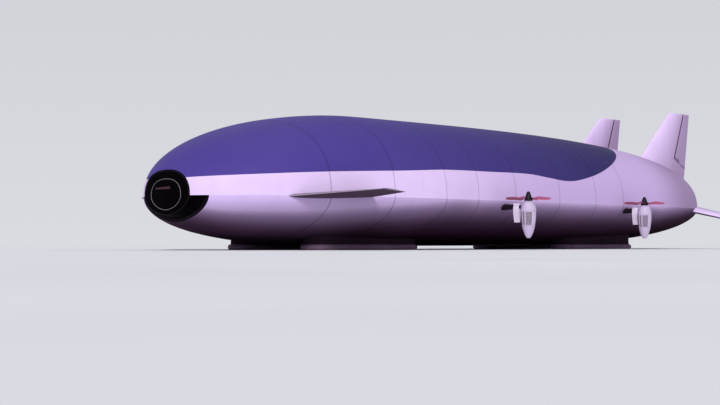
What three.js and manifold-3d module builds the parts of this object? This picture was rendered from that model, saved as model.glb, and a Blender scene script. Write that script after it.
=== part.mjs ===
// Rigid cargo airship, a 1:10 scale model of a ship about 169 m long.
// Millimetres, +X to the nose, +Y to port, +Z up, origin on the floor under the middle of the ship.
// One millimetre here is 10 mm on the full-size ship.

import * as THREE from 'three';
import Module from 'manifold-3d';
import { mergeVertices } from 'three/addons/utils/BufferGeometryUtils.js';

const wasm = await Module();
wasm.setup();

// Hull. Its own frame has X = 0 at mid length and Z = 0 at the chine, the sharp edge all round it.
const LENGTH = 16900;
const HALF_WIDTH = 2703;
const CROWN = 1770;
const BELLY = 978;
const SKIN = 10;
const SEAT_GAP = 0.3;
const HULL_STATIONS = 24;
const HULL_SIDES = 28;
const TIP_SHARE = 0.0002;
// Each profile: widest station as a share of the length, and the roundness ahead of it and behind it.
const PLAN = { widest: 0.29, fore: 1.90, aft: 3.56 };
const TOP_LINE = { widest: 0.26, fore: 1.92, aft: 3.22 };
const KEEL_LINE = { widest: 0.31, fore: 2.45, aft: 3.34 };
const UPPER_ROUNDNESS = 2.38;
const LOWER_ROUNDNESS = 1.82;

// Where the hull skin is divided. A shallow glass disc closes the blunt nose, and a recessed chin lies below it.
const NOSE_CUT = 8240;
const NOSE_BULGE = 30;
const NOSE_BEZEL = 1;
const CHIN_CUT = 8030;
const CHIN_RECESS = 70;

// Cargo bay in the belly: an opening with round ends, and the rim round it, wider at its fore end.
const BAY = { fore: 4540, aft: -5620, halfWidth: 665, ceiling: -90, wall: 10 };
const BAY_FORE_CENTRE = BAY.fore - BAY.halfWidth;
const BAY_AFT_CENTRE = BAY.aft + BAY.halfWidth;
const RIM = { fore: 4740, foreHalf: 750, aftHalf: 700, shoulder: 2400, waist: 1400, proud: 15 };

// Hoists: a beam across the bay, a winch under it, and a mast that holds the lifting head low in the bay.
const HOIST_X = { fore: 2900, aft: -4060 };
const HOIST = { beam: 120, beamDepth: 90, winch: 260, winchDepth: 150, mast: 22 };
const HOIST_HEAD = { underside: -950, across: 130, along: 70, thick: 24 };

// Landing cushions: rings of inflated tube with round ends, under skirts.
const SOLE = -1031;
const CUSHIONS = [
  { end: 'fore', fore: 5705, aft: 2605, side: 1122, halfGauge: 294, tube: 59 },
  { end: 'aft', fore: -2280, aft: -5200, side: 1195, halfGauge: 265, tube: 60 },
];
const TUBE_SIDES = 10;
const TUBE_SQUASH = 0.94;
const SKIRT_HALF = 26;
const END_STEPS = 8;

// Wings to port: leading and trailing edge at the root, inside the hull, and at the tip.
// The hinge lies at a share of the chord and runs between two shares of the span. Thickness is a share of the chord.
const CLEAR = 6;
const PIN = { radius: 9, length: 40, bite: 4, sides: 12 };
const CANARD = {
  thickness: 0.06,
  rootLead: [6950, 1700, -20], rootTrail: [4970, 1700, -50],
  tipLead: [6130, 3710, 100], tipTrail: [5550, 3710, 55],
  hinge: 0.65, from: 0.48, to: 0.95,
};
const TAILPLANE = {
  thickness: 0.11,
  rootLead: [-6500, 1300, 130], rootTrail: [-8000, 1300, 130],
  tipLead: [-8250, 3500, -500], tipTrail: [-9050, 3500, -500],
  hinge: 0.68, from: 0.36, to: 0.95,
};
const FIN = {
  thickness: 0.11,
  rootLead: [-5600, 1100, 930], rootTrail: [-8020, 1100, 500],
  tipLead: [-7380, 1100, 2550], tipTrail: [-8340, 1100, 2550],
  hinge: 0.67, from: 0.36, to: 1.2,
};

// Lift engines: nacelles that tilt about a lateral shaft near their top, with a propeller above.
const ENGINES = [
  { end: 'fore', x: 1400, side: 3300, root: 2700, wing: 3000 },
  { end: 'aft', x: -3200, side: 3085, root: 2590, wing: 2845 },
];
const TILT_HEIGHT = -135;
const SHAFT = { radius: 30, sides: 24, start: 25 };
// Mount on the hull: distance out from the hull's side, half height, half length. Its end stops short of the stub wing.
const MOUNT = [[-300, 75, 130], [20, 62, 95]];
const MOUNT_END = { gap: 8, halfHeight: 52, halfLength: 66 };
const STUB_WING = { halfSpan: 76, above: 75, below: 325, halfThick: 40 };
// Stub wing outline from its top down: share of the half thickness, share of the height.
const STUB_OUTLINE = [[0.2, 0], [0.7, 0.075], [1, 0.3], [0.6, 0.7], [0.07, 1]];
// Nacelle sections: distance below its top, half width across the ship, half depth along it.
const NACELLE_TOP = -20;
const NACELLE = [
  [0, 72, 72], [25, 112, 114], [85, 145, 150], [210, 158, 168], [390, 150, 163],
  [560, 119, 133], [690, 76, 86], [765, 34, 40],
];
const PROP = { radius: 470, blades: 6, hub: 86, spinner: 195, gap: 8, bladeHeight: 48, sides: 14 };
const PROP_SHAFT = { radius: 24, depth: 60, sides: 16 };
// Spinner outline: share of the hub's radius, share of the spinner's height.
const SPINNER = [[0, 0], [1, 0], [0.97, 0.12], [0.64, 0.62], [0.36, 0.93], [0, 1]];
// Blade: share of the radius, half chord, half thickness, pitch in radians.
const BLADE = [
  [0.1, 13, 9, 0.95], [0.34, 17, 7, 0.85], [0.6, 50, 5, 0.72], [0.86, 48, 4, 0.62], [1, 24, 2, 0.58],
];

const COLOURS = {
  white: { color: 0xe8e4ee, roughness: 0.45, metalness: 0 },
  lower: { color: 0xb9b3c6, roughness: 0.55, metalness: 0 },
  black: { color: 0x0b0a0e, roughness: 0.15, metalness: 0 },
  brown: { color: 0x4f4750, roughness: 0.6, metalness: 0 },
  rubber: { color: 0x7c7488, roughness: 0.8, metalness: 0 },
  dark: { color: 0x2a262e, roughness: 0.5, metalness: 0.4 },
  steel: { color: 0x9a96a0, roughness: 0.4, metalness: 0.8 },
};

// Solids and meshes

function toSolid(geometry) {
  const bare = geometry.clone();
  bare.deleteAttribute('normal');
  bare.deleteAttribute('uv');
  const merged = mergeVertices(bare, 1e-3);
  const vertProperties = Float32Array.from(merged.attributes.position.array);
  const triVerts = Uint32Array.from(merged.index.array);
  return new wasm.Manifold(new wasm.Mesh({ numProp: 3, vertProperties, triVerts }));
}

function toGeometry(solid) {
  const mesh = solid.getMesh();
  const geometry = new THREE.BufferGeometry();
  geometry.setAttribute('position', new THREE.BufferAttribute(Float32Array.from(mesh.vertProperties), 3));
  geometry.setIndex(Array.from(mesh.triVerts));
  geometry.computeVertexNormals();
  return geometry;
}

// A solid from points and triangles, turned right side out if need be.
function solidFrom(points, faces) {
  const geometry = new THREE.BufferGeometry();
  geometry.setAttribute('position', new THREE.Float32BufferAttribute(points.flat(), 3));
  geometry.setIndex(faces);
  const solid = toSolid(geometry);
  if (solid.volume() > 0) return solid;
  const turned = [];
  for (let i = 0; i < faces.length; i += 3) turned.push(faces[i], faces[i + 2], faces[i + 1]);
  geometry.setIndex(turned);
  return toSolid(geometry);
}

// Two triangles for each cell between one ring of points and another of the same count.
function cells(count, one, other) {
  const faces = [];
  for (let j = 0; j < count; j++) {
    const k = (j + 1) % count;
    const [a, b, c, d] = [one * count + j, one * count + k, other * count + k, other * count + j];
    faces.push(a, b, c, a, c, d);
  }
  return faces;
}

// Rings of points, the same count in each, skinned into a closed solid with a fan on each end.
function loft(rings) {
  const count = rings[0].length;
  const last = rings.length - 1;
  const points = rings.flat();
  const faces = rings.slice(1).flatMap((_, i) => cells(count, i, i + 1));
  for (const ring of [0, last]) {
    const middle = points.length;
    points.push([0, 1, 2].map((axis) => rings[ring].reduce((sum, p) => sum + p[axis], 0) / count));
    for (let j = 0; j < count; j++) {
      const [a, b] = [ring * count + j, ring * count + (j + 1) % count];
      faces.push(...(ring === 0 ? [middle, b, a] : [middle, a, b]));
    }
  }
  return solidFrom(points, faces);
}

// Rings of points joined into a closed loop, as a torus is.
function loop(rings) {
  const count = rings[0].length;
  return solidFrom(rings.flat(), rings.flatMap((_, i) => cells(count, i, (i + 1) % rings.length)));
}

function box(low, high) {
  const size = high.map((value, i) => value - low[i]);
  const geometry = new THREE.BoxGeometry(...size);
  geometry.translate(...high.map((value, i) => (value + low[i]) / 2));
  return toSolid(geometry);
}

// A cylinder or cone between two points.
function rod(start, end, radiusStart, radiusEnd = radiusStart, sides = 16) {
  const from = new THREE.Vector3(...start);
  const along = new THREE.Vector3(...end).sub(from);
  const geometry = new THREE.CylinderGeometry(radiusEnd, radiusStart, along.length(), sides);
  geometry.translate(0, along.length() / 2, 0);
  const turn = new THREE.Quaternion().setFromUnitVectors(new THREE.Vector3(0, 1, 0), along.clone().normalize());
  geometry.applyQuaternion(turn);
  geometry.translate(...start);
  return toSolid(geometry);
}

// The hole that a turning rod of this radius and number of sides runs in.
function boreRadius(radius, sides) {
  return (radius + SEAT_GAP) / Math.cos(Math.PI / sides);
}

function mirrored(solid) {
  return solid.mirror([0, 1, 0]);
}

// Hull

function taper(share, profile) {
  const ahead = share < profile.widest;
  const reach = ahead ? profile.widest : 1 - profile.widest;
  const power = ahead ? profile.fore : profile.aft;
  const t = Math.abs(share - profile.widest) / reach;
  return Math.pow(Math.max(0, 1 - Math.pow(t, power)), 1 / power);
}

// The point of the hull at a share of its length and an angle round it, 0 at the port chine.
function hullPoint(share, angle, grow = 0) {
  const cos = Math.cos(angle);
  const sin = Math.sin(angle);
  const above = sin >= 0;
  const power = 2 / (above ? UPPER_ROUNDNESS : LOWER_ROUNDNESS);
  const height = above ? (CROWN + grow) * taper(share, TOP_LINE) : (BELLY + grow) * taper(share, KEEL_LINE);
  const half = (HALF_WIDTH + grow) * taper(share, PLAN);
  return [
    (LENGTH / 2 - share * LENGTH) * (1 + 2 * grow / LENGTH),
    half * Math.sign(cos) * Math.pow(Math.abs(cos), power),
    height * Math.sign(sin) * Math.pow(Math.abs(sin), power),
  ];
}

// The whole hull as a solid, grown by so many millimetres.
function hullSolid(grow) {
  const rings = [];
  for (let i = 0; i <= HULL_STATIONS; i++) {
    const even = (1 - Math.cos(Math.PI * i / HULL_STATIONS)) / 2;
    const share = THREE.MathUtils.clamp(even, TIP_SHARE, 1 - TIP_SHARE);
    const ring = [];
    for (let j = 0; j < HULL_SIDES; j++) ring.push(hullPoint(share, 2 * Math.PI * j / HULL_SIDES, grow));
    rings.push(ring);
  }
  return loft(rings);
}

// Upright prisms

function arc(x, y, radius, startDegrees, endDegrees) {
  const points = [];
  for (let i = 0; i <= END_STEPS; i++) {
    const angle = THREE.MathUtils.degToRad(startDegrees + (endDegrees - startDegrees) * i / END_STEPS);
    points.push([x + radius * Math.cos(angle), y + radius * Math.sin(angle)]);
  }
  return points;
}

function prism(points, low, high) {
  const shape = new THREE.Shape(points.map((point) => new THREE.Vector2(...point)));
  const geometry = new THREE.ExtrudeGeometry(shape, { depth: high - low, bevelEnabled: false });
  geometry.translate(0, 0, low);
  return toSolid(geometry);
}

function racetrack(fore, aft, side, halfWidth, low, high) {
  const foreEnd = arc(fore - halfWidth, side, halfWidth, -90, 90);
  const aftEnd = arc(aft + halfWidth, side, halfWidth, 90, 270);
  return prism([...foreEnd, ...aftEnd], low, high);
}

// The bay's racetrack grown sideways all round, between two heights.
function bayPrism(grow, low, high) {
  return racetrack(BAY.fore + grow, BAY.aft - grow, 0, BAY.halfWidth + grow, low, high);
}

const FAR = 20000;
const above = (z) => box([-FAR, -FAR, z], [FAR, FAR, FAR]);
const below = (z) => box([-FAR, -FAR, -FAR], [FAR, FAR, z]);
const ahead = (x) => box([x, -FAR, -FAR], [FAR, FAR, FAR]);
const behind = (x) => box([-FAR, -FAR, -FAR], [x, FAR, FAR]);
const slice = (aft, fore) => box([aft, -FAR, -FAR], [fore, FAR, FAR]);
const toPort = (y) => box([-FAR, y, -FAR], [FAR, FAR, FAR]);

const outer = hullSolid(0);
const inner = hullSolid(-SKIN);
const seat = hullSolid(SEAT_GAP);
const shell = outer.subtract(inner);
const bayWay = bayPrism(0, -2 * BELLY, 0);
const HALF_GAP = SEAT_GAP / 2;

function makeHull() {
  const lower = shell.intersect(below(-HALF_GAP)).subtract(bayWay);
  const side = lower.intersect(slice(BAY_AFT_CENTRE + HALF_GAP, BAY_FORE_CENTRE - HALF_GAP));
  const ledge = outer.intersect(slice(CHIN_CUT - SKIN, NOSE_CUT - SKIN - SEAT_GAP)).intersect(below(SKIN));
  const step = outer.subtract(hullSolid(-CHIN_RECESS - SKIN)).intersect(slice(CHIN_CUT - SKIN, CHIN_CUT));
  const bow = lower.add(step.intersect(below(-HALF_GAP)));
  return {
    hull_upper: shell.add(ledge).intersect(above(HALF_GAP)).intersect(behind(NOSE_CUT - HALF_GAP)),
    hull_lower_bow: bow.intersect(slice(BAY_FORE_CENTRE + HALF_GAP, CHIN_CUT - HALF_GAP)),
    hull_lower_stern: lower.intersect(behind(BAY_AFT_CENTRE - HALF_GAP)),
    hull_lower_port: side.intersect(toPort(HALF_GAP)),
    hull_lower_starboard: side.intersect(mirrored(toPort(HALF_GAP))),
  };
}

function makeNose() {
  const recessed = hullSolid(-CHIN_RECESS).subtract(hullSolid(-CHIN_RECESS - SKIN));
  const opening = hullSolid(-SKIN - SEAT_GAP);
  const foot = NOSE_CUT - NOSE_BEZEL;
  const tip = opening.intersect(ahead(foot)).translate([-foot, 0, 0]);
  const squash = (NOSE_BULGE + NOSE_BEZEL) / tip.boundingBox().max[0];
  const disc = opening.intersect(slice(NOSE_CUT - SKIN, NOSE_CUT));
  const chin = recessed.intersect(slice(CHIN_CUT + HALF_GAP, NOSE_CUT - SKIN - SEAT_GAP));
  return {
    nose_glazing: disc.add(tip.scale([squash, 1, 1]).translate([foot, 0, 0])),
    chin_glazing: chin.intersect(below(-HALF_GAP)),
  };
}

function makeBay() {
  const { ceiling, wall } = BAY;
  const lining = bayPrism(wall, -BELLY, ceiling).subtract(bayWay);
  const straight = lining.intersect(slice(BAY_AFT_CENTRE + HALF_GAP, BAY_FORE_CENTRE - HALF_GAP));
  return {
    bay_ceiling: bayPrism(wall, ceiling + SEAT_GAP, ceiling + SEAT_GAP + wall),
    bay_wall: straight.intersect(toPort(0)),
    bay_end_fore: inHull(lining.intersect(ahead(BAY_FORE_CENTRE + HALF_GAP))),
    bay_end_aft: inHull(lining.intersect(behind(BAY_AFT_CENTRE - HALF_GAP))),
    bay_rim: makeRim(),
  };
}

function makeRim() {
  const { fore, foreHalf, aftHalf, shoulder, waist, proud } = RIM;
  const outline = [
    ...arc(fore - foreHalf, 0, foreHalf, -90, 90), [shoulder, foreHalf], [waist, aftHalf],
    ...arc(BAY_AFT_CENTRE, 0, aftHalf, 90, 270), [waist, -aftHalf], [shoulder, -foreHalf],
  ];
  return hullSolid(proud).intersect(prism(outline, -2 * BELLY, BAY.ceiling)).subtract(seat).subtract(bayWay);
}

function makeHoist(x) {
  const { beam, beamDepth, winch, winchDepth, mast } = HOIST;
  const { underside, across, along, thick } = HOIST_HEAD;
  const top = BAY.ceiling - SEAT_GAP;
  const beamUnder = top - beamDepth;
  const clearBay = bayPrism(-SEAT_GAP, -2 * BELLY, 0);
  const cross = box([x - beam / 2, -BAY.halfWidth, beamUnder], [x + beam / 2, BAY.halfWidth, top]).intersect(clearBay);
  const drum = box([x - winch / 2, -winch / 2, beamUnder - winchDepth], [x + winch / 2, winch / 2, beamUnder]);
  const stem = rod([x, 0, underside + thick], [x, 0, beamUnder], mast, mast, 12);
  const head = box([x - along / 2, -across / 2, underside], [x + along / 2, across / 2, underside + thick]);
  return cross.add(drum).add(stem).add(head);
}

// Cushion: an inflated tube round a racetrack, flat where it stands, and the skirt that joins it to the belly.
function makeCushion({ fore, aft, side, halfGauge, tube }) {
  const centre = SOLE + tube * TUBE_SQUASH;
  const foreCentre = fore - tube - halfGauge;
  const aftCentre = aft + tube + halfGauge;
  const ringThrough = (j) => {
    const turn = 2 * Math.PI * (j + 0.5) / TUBE_SIDES;
    const out = halfGauge + tube * Math.sin(turn);
    const z = Math.max(SOLE, centre - tube * Math.cos(turn));
    const track = [...arc(foreCentre, side, out, -90, 90), ...arc(aftCentre, side, out, 90, 270)];
    return track.map(([x, y]) => [x, y, z]);
  };
  const ring = loop(Array.from({ length: TUBE_SIDES }, (_, j) => ringThrough(j)));
  const skirtOuter = racetrack(fore - tube + SKIRT_HALF, aft + tube - SKIRT_HALF, side, halfGauge + SKIRT_HALF, centre, 0);
  const skirtInner = racetrack(fore - tube - SKIRT_HALF, aft + tube + SKIRT_HALF, side, halfGauge - SKIRT_HALF, SOLE, SKIN);
  return ring.add(skirtOuter.subtract(skirtInner));
}

// Wings

const CHORD_SHARES = [0, 0.02, 0.08, 0.2, 0.4, 0.65, 0.85, 1];
const SLAB = 4000;

function halfThickness(share, thickness) {
  const s = Math.min(share, 1);
  const curve = 1.4845 * Math.sqrt(s) - 0.63 * s - 1.758 * s ** 2 + 1.4215 * s ** 3 - 0.5075 * s ** 4;
  return thickness * Math.max(curve, 0.012 * s);
}

function section(lead, trail, up, thickness) {
  const nose = new THREE.Vector3(...lead);
  const chord = new THREE.Vector3(...trail).sub(nose);
  const rise = new THREE.Vector3(...up).normalize();
  const at = (share, side) => nose.clone().addScaledVector(chord, share)
    .addScaledVector(rise, side * chord.length() * halfThickness(share, thickness)).toArray();
  const top = CHORD_SHARES.slice(1).map((share) => at(share, 1));
  const bottom = CHORD_SHARES.slice(1).reverse().map((share) => at(share, -1));
  return [at(0, 0), ...top, ...bottom];
}

// A wing cut into a fixed part and a hinged rear part, which turns on a pin at each end of its hinge line.
// A rear part whose hinge runs past the wing's tip has its first pin only.
function makeWing({ thickness, rootLead, rootTrail, tipLead, tipTrail, hinge, from, to }, up) {
  const mix = (a, b, t) => new THREE.Vector3(...a).lerp(new THREE.Vector3(...b), t);
  const whole = loft([section(rootLead, rootTrail, up, thickness), section(tipLead, tipTrail, up, thickness)]);
  const rootHinge = mix(rootLead, rootTrail, hinge).toArray();
  const tipHinge = mix(tipLead, tipTrail, hinge).toArray();
  const chordAt = (t) => mix(rootLead, tipLead, t).distanceTo(mix(rootTrail, tipTrail, t));
  const start = mix(rootHinge, tipHinge, from);
  const end = mix(rootHinge, tipHinge, to);
  const span = start.distanceTo(end);
  const along = end.sub(start).normalize();
  const back = new THREE.Vector3().crossVectors(along, new THREE.Vector3(...up)).normalize();
  if (back.x > 0) back.negate();
  const across = new THREE.Vector3().crossVectors(along, back).normalize();
  const slab = (low, high) => {
    const geometry = new THREE.BoxGeometry(high - low, SLAB, SLAB);
    geometry.translate((low + high) / 2, SLAB / 2, 0);
    geometry.applyMatrix4(new THREE.Matrix4().makeBasis(along, back, across).setPosition(start));
    return toSolid(geometry);
  };
  const point = (distance) => start.clone().addScaledVector(along, distance).toArray();
  const hingeShare = halfThickness(hinge, thickness) * 0.985;
  const radius = (distance) => chordAt(from + (to - from) * distance / span) * hingeShare;
  const bar = (low, high, grow) => rod(point(low), point(high), radius(low) + grow, radius(high) + grow);

  const pastTip = to > 1;
  const stop = pastTip ? span : span - CLEAR;
  let fixed = whole.subtract(slab(0, span)).subtract(bar(0, span, CLEAR));
  let moving = whole.intersect(slab(CLEAR, stop)).add(bar(CLEAR, stop, 0).intersect(whole));
  const pins = [[-PIN.length, CLEAR + PIN.bite]];
  if (!pastTip) pins.push([stop - PIN.bite, span + PIN.length]);
  const bore = boreRadius(PIN.radius, PIN.sides);
  for (const [low, high] of pins) {
    fixed = fixed.subtract(rod(point(low - 1), point(high + 1), bore, bore, PIN.sides));
    moving = moving.add(rod(point(low), point(high), PIN.radius, PIN.radius, PIN.sides));
  }
  return { fixed, moving };
}

// Engines

function ringAt(x, y, z, halfAcross, halfAlong, sides = 14) {
  const points = [];
  for (let j = 0; j < sides; j++) {
    const angle = 2 * Math.PI * (j + 0.5) / sides;
    points.push([x + halfAlong * Math.cos(angle), y + halfAcross * Math.sin(angle), z]);
  }
  return points;
}

function nacelleSolid({ x, side }, grow = 0) {
  return loft(NACELLE.map(([down, across, along]) => ringAt(x, side, NACELLE_TOP - down, across + grow, along + grow)));
}

// The mount's sections stand upright beside the hull, so each is drawn flat and turned.
function makeMount({ x, root, wing }) {
  const end = wing - STUB_WING.halfSpan - MOUNT_END.gap - root;
  const sections = [...MOUNT, [end, MOUNT_END.halfHeight, MOUNT_END.halfLength]];
  const rings = sections.map(([out, halfHeight, halfLength]) => (
    ringAt(0, 0, root + out, halfHeight, halfLength).map(([u, v, w]) => [x + u, w, TILT_HEIGHT + v])));
  const hole = boreRadius(SHAFT.radius, SHAFT.sides);
  const deep = root + MOUNT[0][0] - 1;
  return loft(rings).subtract(rod([x, deep, TILT_HEIGHT], [x, wing, TILT_HEIGHT], hole, hole, SHAFT.sides));
}

// The stub wing and the shaft that carries it, fitted round the nacelle.
function makeStubWing(engine) {
  const { x, side, root, wing } = engine;
  const { halfSpan, above: high, below: low, halfThick } = STUB_WING;
  const edge = STUB_OUTLINE.map(([thick, down]) => [thick * halfThick, TILT_HEIGHT + high - down * (high + low)]);
  const outline = [...edge, ...edge.slice().reverse().map(([u, z]) => [-u, z])];
  const panel = loft([-halfSpan, halfSpan].map((v) => outline.map(([u, z]) => [x + u, wing + v, z])));
  const { radius, sides, start } = SHAFT;
  const shaft = rod([x, root + start, TILT_HEIGHT], [x, side, TILT_HEIGHT], radius, radius, sides);
  return shaft.add(panel).subtract(nacelleSolid(engine, 1.5 * SEAT_GAP));
}

function makeNacelle(engine) {
  const { x, side } = engine;
  const { radius, depth, sides } = PROP_SHAFT;
  const hole = boreRadius(radius, sides);
  const low = NACELLE_TOP - depth - PROP.gap;
  return nacelleSolid(engine).subtract(rod([x, side, low], [x, side, 0], hole, hole, sides));
}

function makePropeller({ x, side }) {
  const foot = NACELLE_TOP + PROP.gap;
  const outline = SPINNER.map(([r, h]) => new THREE.Vector2(r * PROP.hub, h * PROP.spinner));
  const spinner = new THREE.LatheGeometry(outline, PROP.sides);
  spinner.rotateX(Math.PI / 2);
  spinner.translate(x, side, foot);
  const { radius, depth, sides } = PROP_SHAFT;
  let prop = toSolid(spinner).add(rod([x, side, NACELLE_TOP - depth], [x, side, foot + 5], radius, radius, sides));
  for (let i = 0; i < PROP.blades; i++) prop = prop.add(blade(x, side, foot + PROP.bladeHeight, i));
  return prop;
}

// One propeller blade, twisted from hub to tip.
function blade(x, y, z, index) {
  const turn = 2 * Math.PI * (index + 0.25) / PROP.blades;
  return loft(BLADE.map(([share, chord, thick, pitch]) => {
    const out = share * PROP.radius;
    const corners = [[chord, 0], [0, thick], [-chord, 0], [0, -thick]];
    return corners.map(([c, t]) => {
      const flat = c * Math.cos(pitch) - t * Math.sin(pitch);
      const rise = c * Math.sin(pitch) + t * Math.cos(pitch);
      const forward = out * Math.cos(turn) - flat * Math.sin(turn);
      const outward = out * Math.sin(turn) + flat * Math.cos(turn);
      return [x + forward, y + outward, z + rise];
    });
  }));
}

// Assembly

const ship = new THREE.Group();
const tail = TAILPLANE.tipTrail[0];
ship.position.set(-(NOSE_CUT + NOSE_BULGE + tail) / 2, 0, -SOLE);

function addPart(name, solid, colour) {
  const mesh = new THREE.Mesh(toGeometry(solid), new THREE.MeshStandardMaterial(COLOURS[colour]));
  mesh.name = name;
  ship.add(mesh);
}

// A port piece and its mirror image, each fitted to the hull, whose facets aren't mirror images.
function addPair(name, solid, colour, fit = (piece) => piece) {
  addPart(`${name}_port`, fit(solid), colour);
  addPart(`${name}_starboard`, fit(mirrored(solid)), colour);
}

const onHull = (piece) => piece.subtract(seat);
const inHull = (piece) => piece.intersect(hullSolid(-SKIN - SEAT_GAP));

const hull = makeHull();
addPart('hull_upper', hull.hull_upper, 'white');
addPart('hull_lower_bow', hull.hull_lower_bow, 'lower');
addPart('hull_lower_stern', hull.hull_lower_stern, 'lower');
addPart('hull_lower_port', hull.hull_lower_port, 'lower');
addPart('hull_lower_starboard', hull.hull_lower_starboard, 'lower');

const nose = makeNose();
addPart('nose_glazing', nose.nose_glazing, 'black');
addPart('chin_glazing', nose.chin_glazing, 'black');

const bay = makeBay();
addPart('bay_ceiling', bay.bay_ceiling, 'black');
addPair('bay_wall', bay.bay_wall, 'black', inHull);
addPart('bay_end_fore', bay.bay_end_fore, 'black');
addPart('bay_end_aft', bay.bay_end_aft, 'black');
addPart('bay_rim', bay.bay_rim, 'brown');
for (const [end, x] of Object.entries(HOIST_X)) addPart(`hoist_${end}`, makeHoist(x), 'steel');

for (const cushion of CUSHIONS) addPair(`cushion_${cushion.end}`, makeCushion(cushion), 'rubber', onHull);

const canard = makeWing(CANARD, [0, 0, 1]);
addPair('canard', canard.fixed, 'brown', onHull);
addPair('canard_flap', canard.moving, 'brown');
const tailplane = makeWing(TAILPLANE, [0, 0.27, 1]);
addPair('tailplane', tailplane.fixed, 'white', onHull);
addPair('elevator', tailplane.moving, 'white');
const fin = makeWing(FIN, [0, 1, 0]);
addPair('fin', fin.fixed, 'white', onHull);
addPair('rudder', fin.moving, 'white');

for (const engine of ENGINES) {
  addPair(`engine_mount_${engine.end}`, makeMount(engine), 'dark', onHull);
  addPair(`stub_wing_${engine.end}`, makeStubWing(engine), 'white');
  addPair(`nacelle_${engine.end}`, makeNacelle(engine), 'white');
  addPair(`propeller_${engine.end}`, makePropeller(engine), 'black');
}

export default ship;
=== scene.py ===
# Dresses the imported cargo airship: a 1:10 scale model parked on its four landing cushions.
# Metres, +X to the nose, +Y to port, +Z up, floor at Z = 0.
import math

import bmesh
import bpy
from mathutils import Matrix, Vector


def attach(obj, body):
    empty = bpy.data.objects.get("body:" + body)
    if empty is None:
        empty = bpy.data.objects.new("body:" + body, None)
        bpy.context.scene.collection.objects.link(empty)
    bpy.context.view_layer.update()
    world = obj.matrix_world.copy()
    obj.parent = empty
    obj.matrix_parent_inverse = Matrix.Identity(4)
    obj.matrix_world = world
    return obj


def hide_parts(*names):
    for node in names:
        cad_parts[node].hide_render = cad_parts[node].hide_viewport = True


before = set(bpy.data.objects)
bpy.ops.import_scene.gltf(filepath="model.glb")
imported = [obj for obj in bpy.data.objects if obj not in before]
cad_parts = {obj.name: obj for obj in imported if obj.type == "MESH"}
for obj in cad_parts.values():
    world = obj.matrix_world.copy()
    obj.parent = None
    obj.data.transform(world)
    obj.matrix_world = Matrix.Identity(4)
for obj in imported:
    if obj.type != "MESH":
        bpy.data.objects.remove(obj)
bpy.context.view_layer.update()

# Hull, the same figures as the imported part. Its own frame has X = 0 at mid length and Z = 0 at the chine.
MID_X = 0.39
CHINE_Z = 1.031
LENGTH = 16.9
HALF_WIDTH = 2.703
CROWN = 1.77
BELLY = 0.978
SKIN = 0.01
UPPER_ROUNDNESS = 2.38
LOWER_ROUNDNESS = 1.82
# Each profile: widest station as a share of the length, and the roundness ahead of it and behind it.
PLAN = (0.29, 1.90, 3.56)
TOP_LINE = (0.26, 1.92, 3.22)
KEEL_LINE = (0.31, 2.45, 3.34)
NOSE_CUT = 8.24
NOSE_BULGE = 0.03
NOSE_BEZEL = 0.001
CHIN_CUT = 8.03
CHIN_RECESS = 0.07
JOINT_GAP = 0.00015

# Cargo bay, its rim and its hoists.
BAY_HALF = 0.665
BAY_FORE = 4.54 - BAY_HALF
BAY_AFT = -5.62 + BAY_HALF
BAY_CEILING = -0.09
RIM_FORE = 4.74
RIM_FORE_HALF = 0.75
RIM_AFT_HALF = 0.70
RIM_SHOULDER = 2.4
RIM_WAIST = 1.4
HOISTS = {"fore": 2.9, "aft": -4.06}
HEAD_UNDERSIDE = -0.950

# Landing cushions: fore end, aft end, middle line to port, half gauge, tube radius.
CUSHIONS = {
    "fore": (5.705, 2.605, 1.122, 0.294, 0.059),
    "aft": (-2.28, -5.20, 1.195, 0.265, 0.060),
}

# Wings to port: thickness over chord, root and tip edges, hinge as a share of the chord, and the span
# shares it runs between. Clear is the room round the moving part.
CLEAR = 0.006
CANARD = {
    "thickness": 0.06,
    "root": ((6.95, 1.70, -0.02), (4.97, 1.70, -0.05)),
    "tip": ((6.13, 3.71, 0.10), (5.55, 3.71, 0.055)),
    "hinge": 0.65, "from": 0.48, "to": 0.95, "up": (0, 0, 1),
}
TAILPLANE = {
    "thickness": 0.11,
    "root": ((-6.50, 1.30, 0.13), (-8.00, 1.30, 0.13)),
    "tip": ((-8.25, 3.50, -0.50), (-9.05, 3.50, -0.50)),
    "hinge": 0.68, "from": 0.36, "to": 0.95, "up": (0, 0.27, 1),
}
FIN = {
    "thickness": 0.11,
    "root": ((-5.60, 1.10, 0.93), (-8.02, 1.10, 0.50)),
    "tip": ((-7.38, 1.10, 2.55), (-8.34, 1.10, 2.55)),
    "hinge": 0.67, "from": 0.36, "to": 1.2, "up": (0, 1, 0),
}

# Lift engines: X, distance out to the nacelle, to the hull side and to the stub wing.
ENGINES = {"fore": (1.40, 3.30, 2.70, 3.00), "aft": (-3.20, 3.085, 2.59, 2.845)}
TILT_HEIGHT = -0.135
SHAFT_RADIUS = 0.030
NACELLE_TOP = -0.02
# Nacelle sections: distance below its top, half width across the ship, half depth along it.
NACELLE = (
    (0, 0.072, 0.072), (0.025, 0.112, 0.114), (0.085, 0.145, 0.150), (0.210, 0.158, 0.168),
    (0.390, 0.150, 0.163), (0.560, 0.119, 0.133), (0.690, 0.076, 0.086), (0.765, 0.034, 0.040),
)
PROP_RADIUS = 0.47
PROP_BLADES = 6
HUB_RADIUS = 0.086
SPINNER_HEIGHT = 0.195

# Transverse seams of the hull skin, along X.
SEAMS = (6.08, 4.69, 3.27, 2.28, 1.05, -0.5, -1.9, -3.05)
SEAM_HALF = 0.009
SEAM_PROUD = 0.0012

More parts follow.
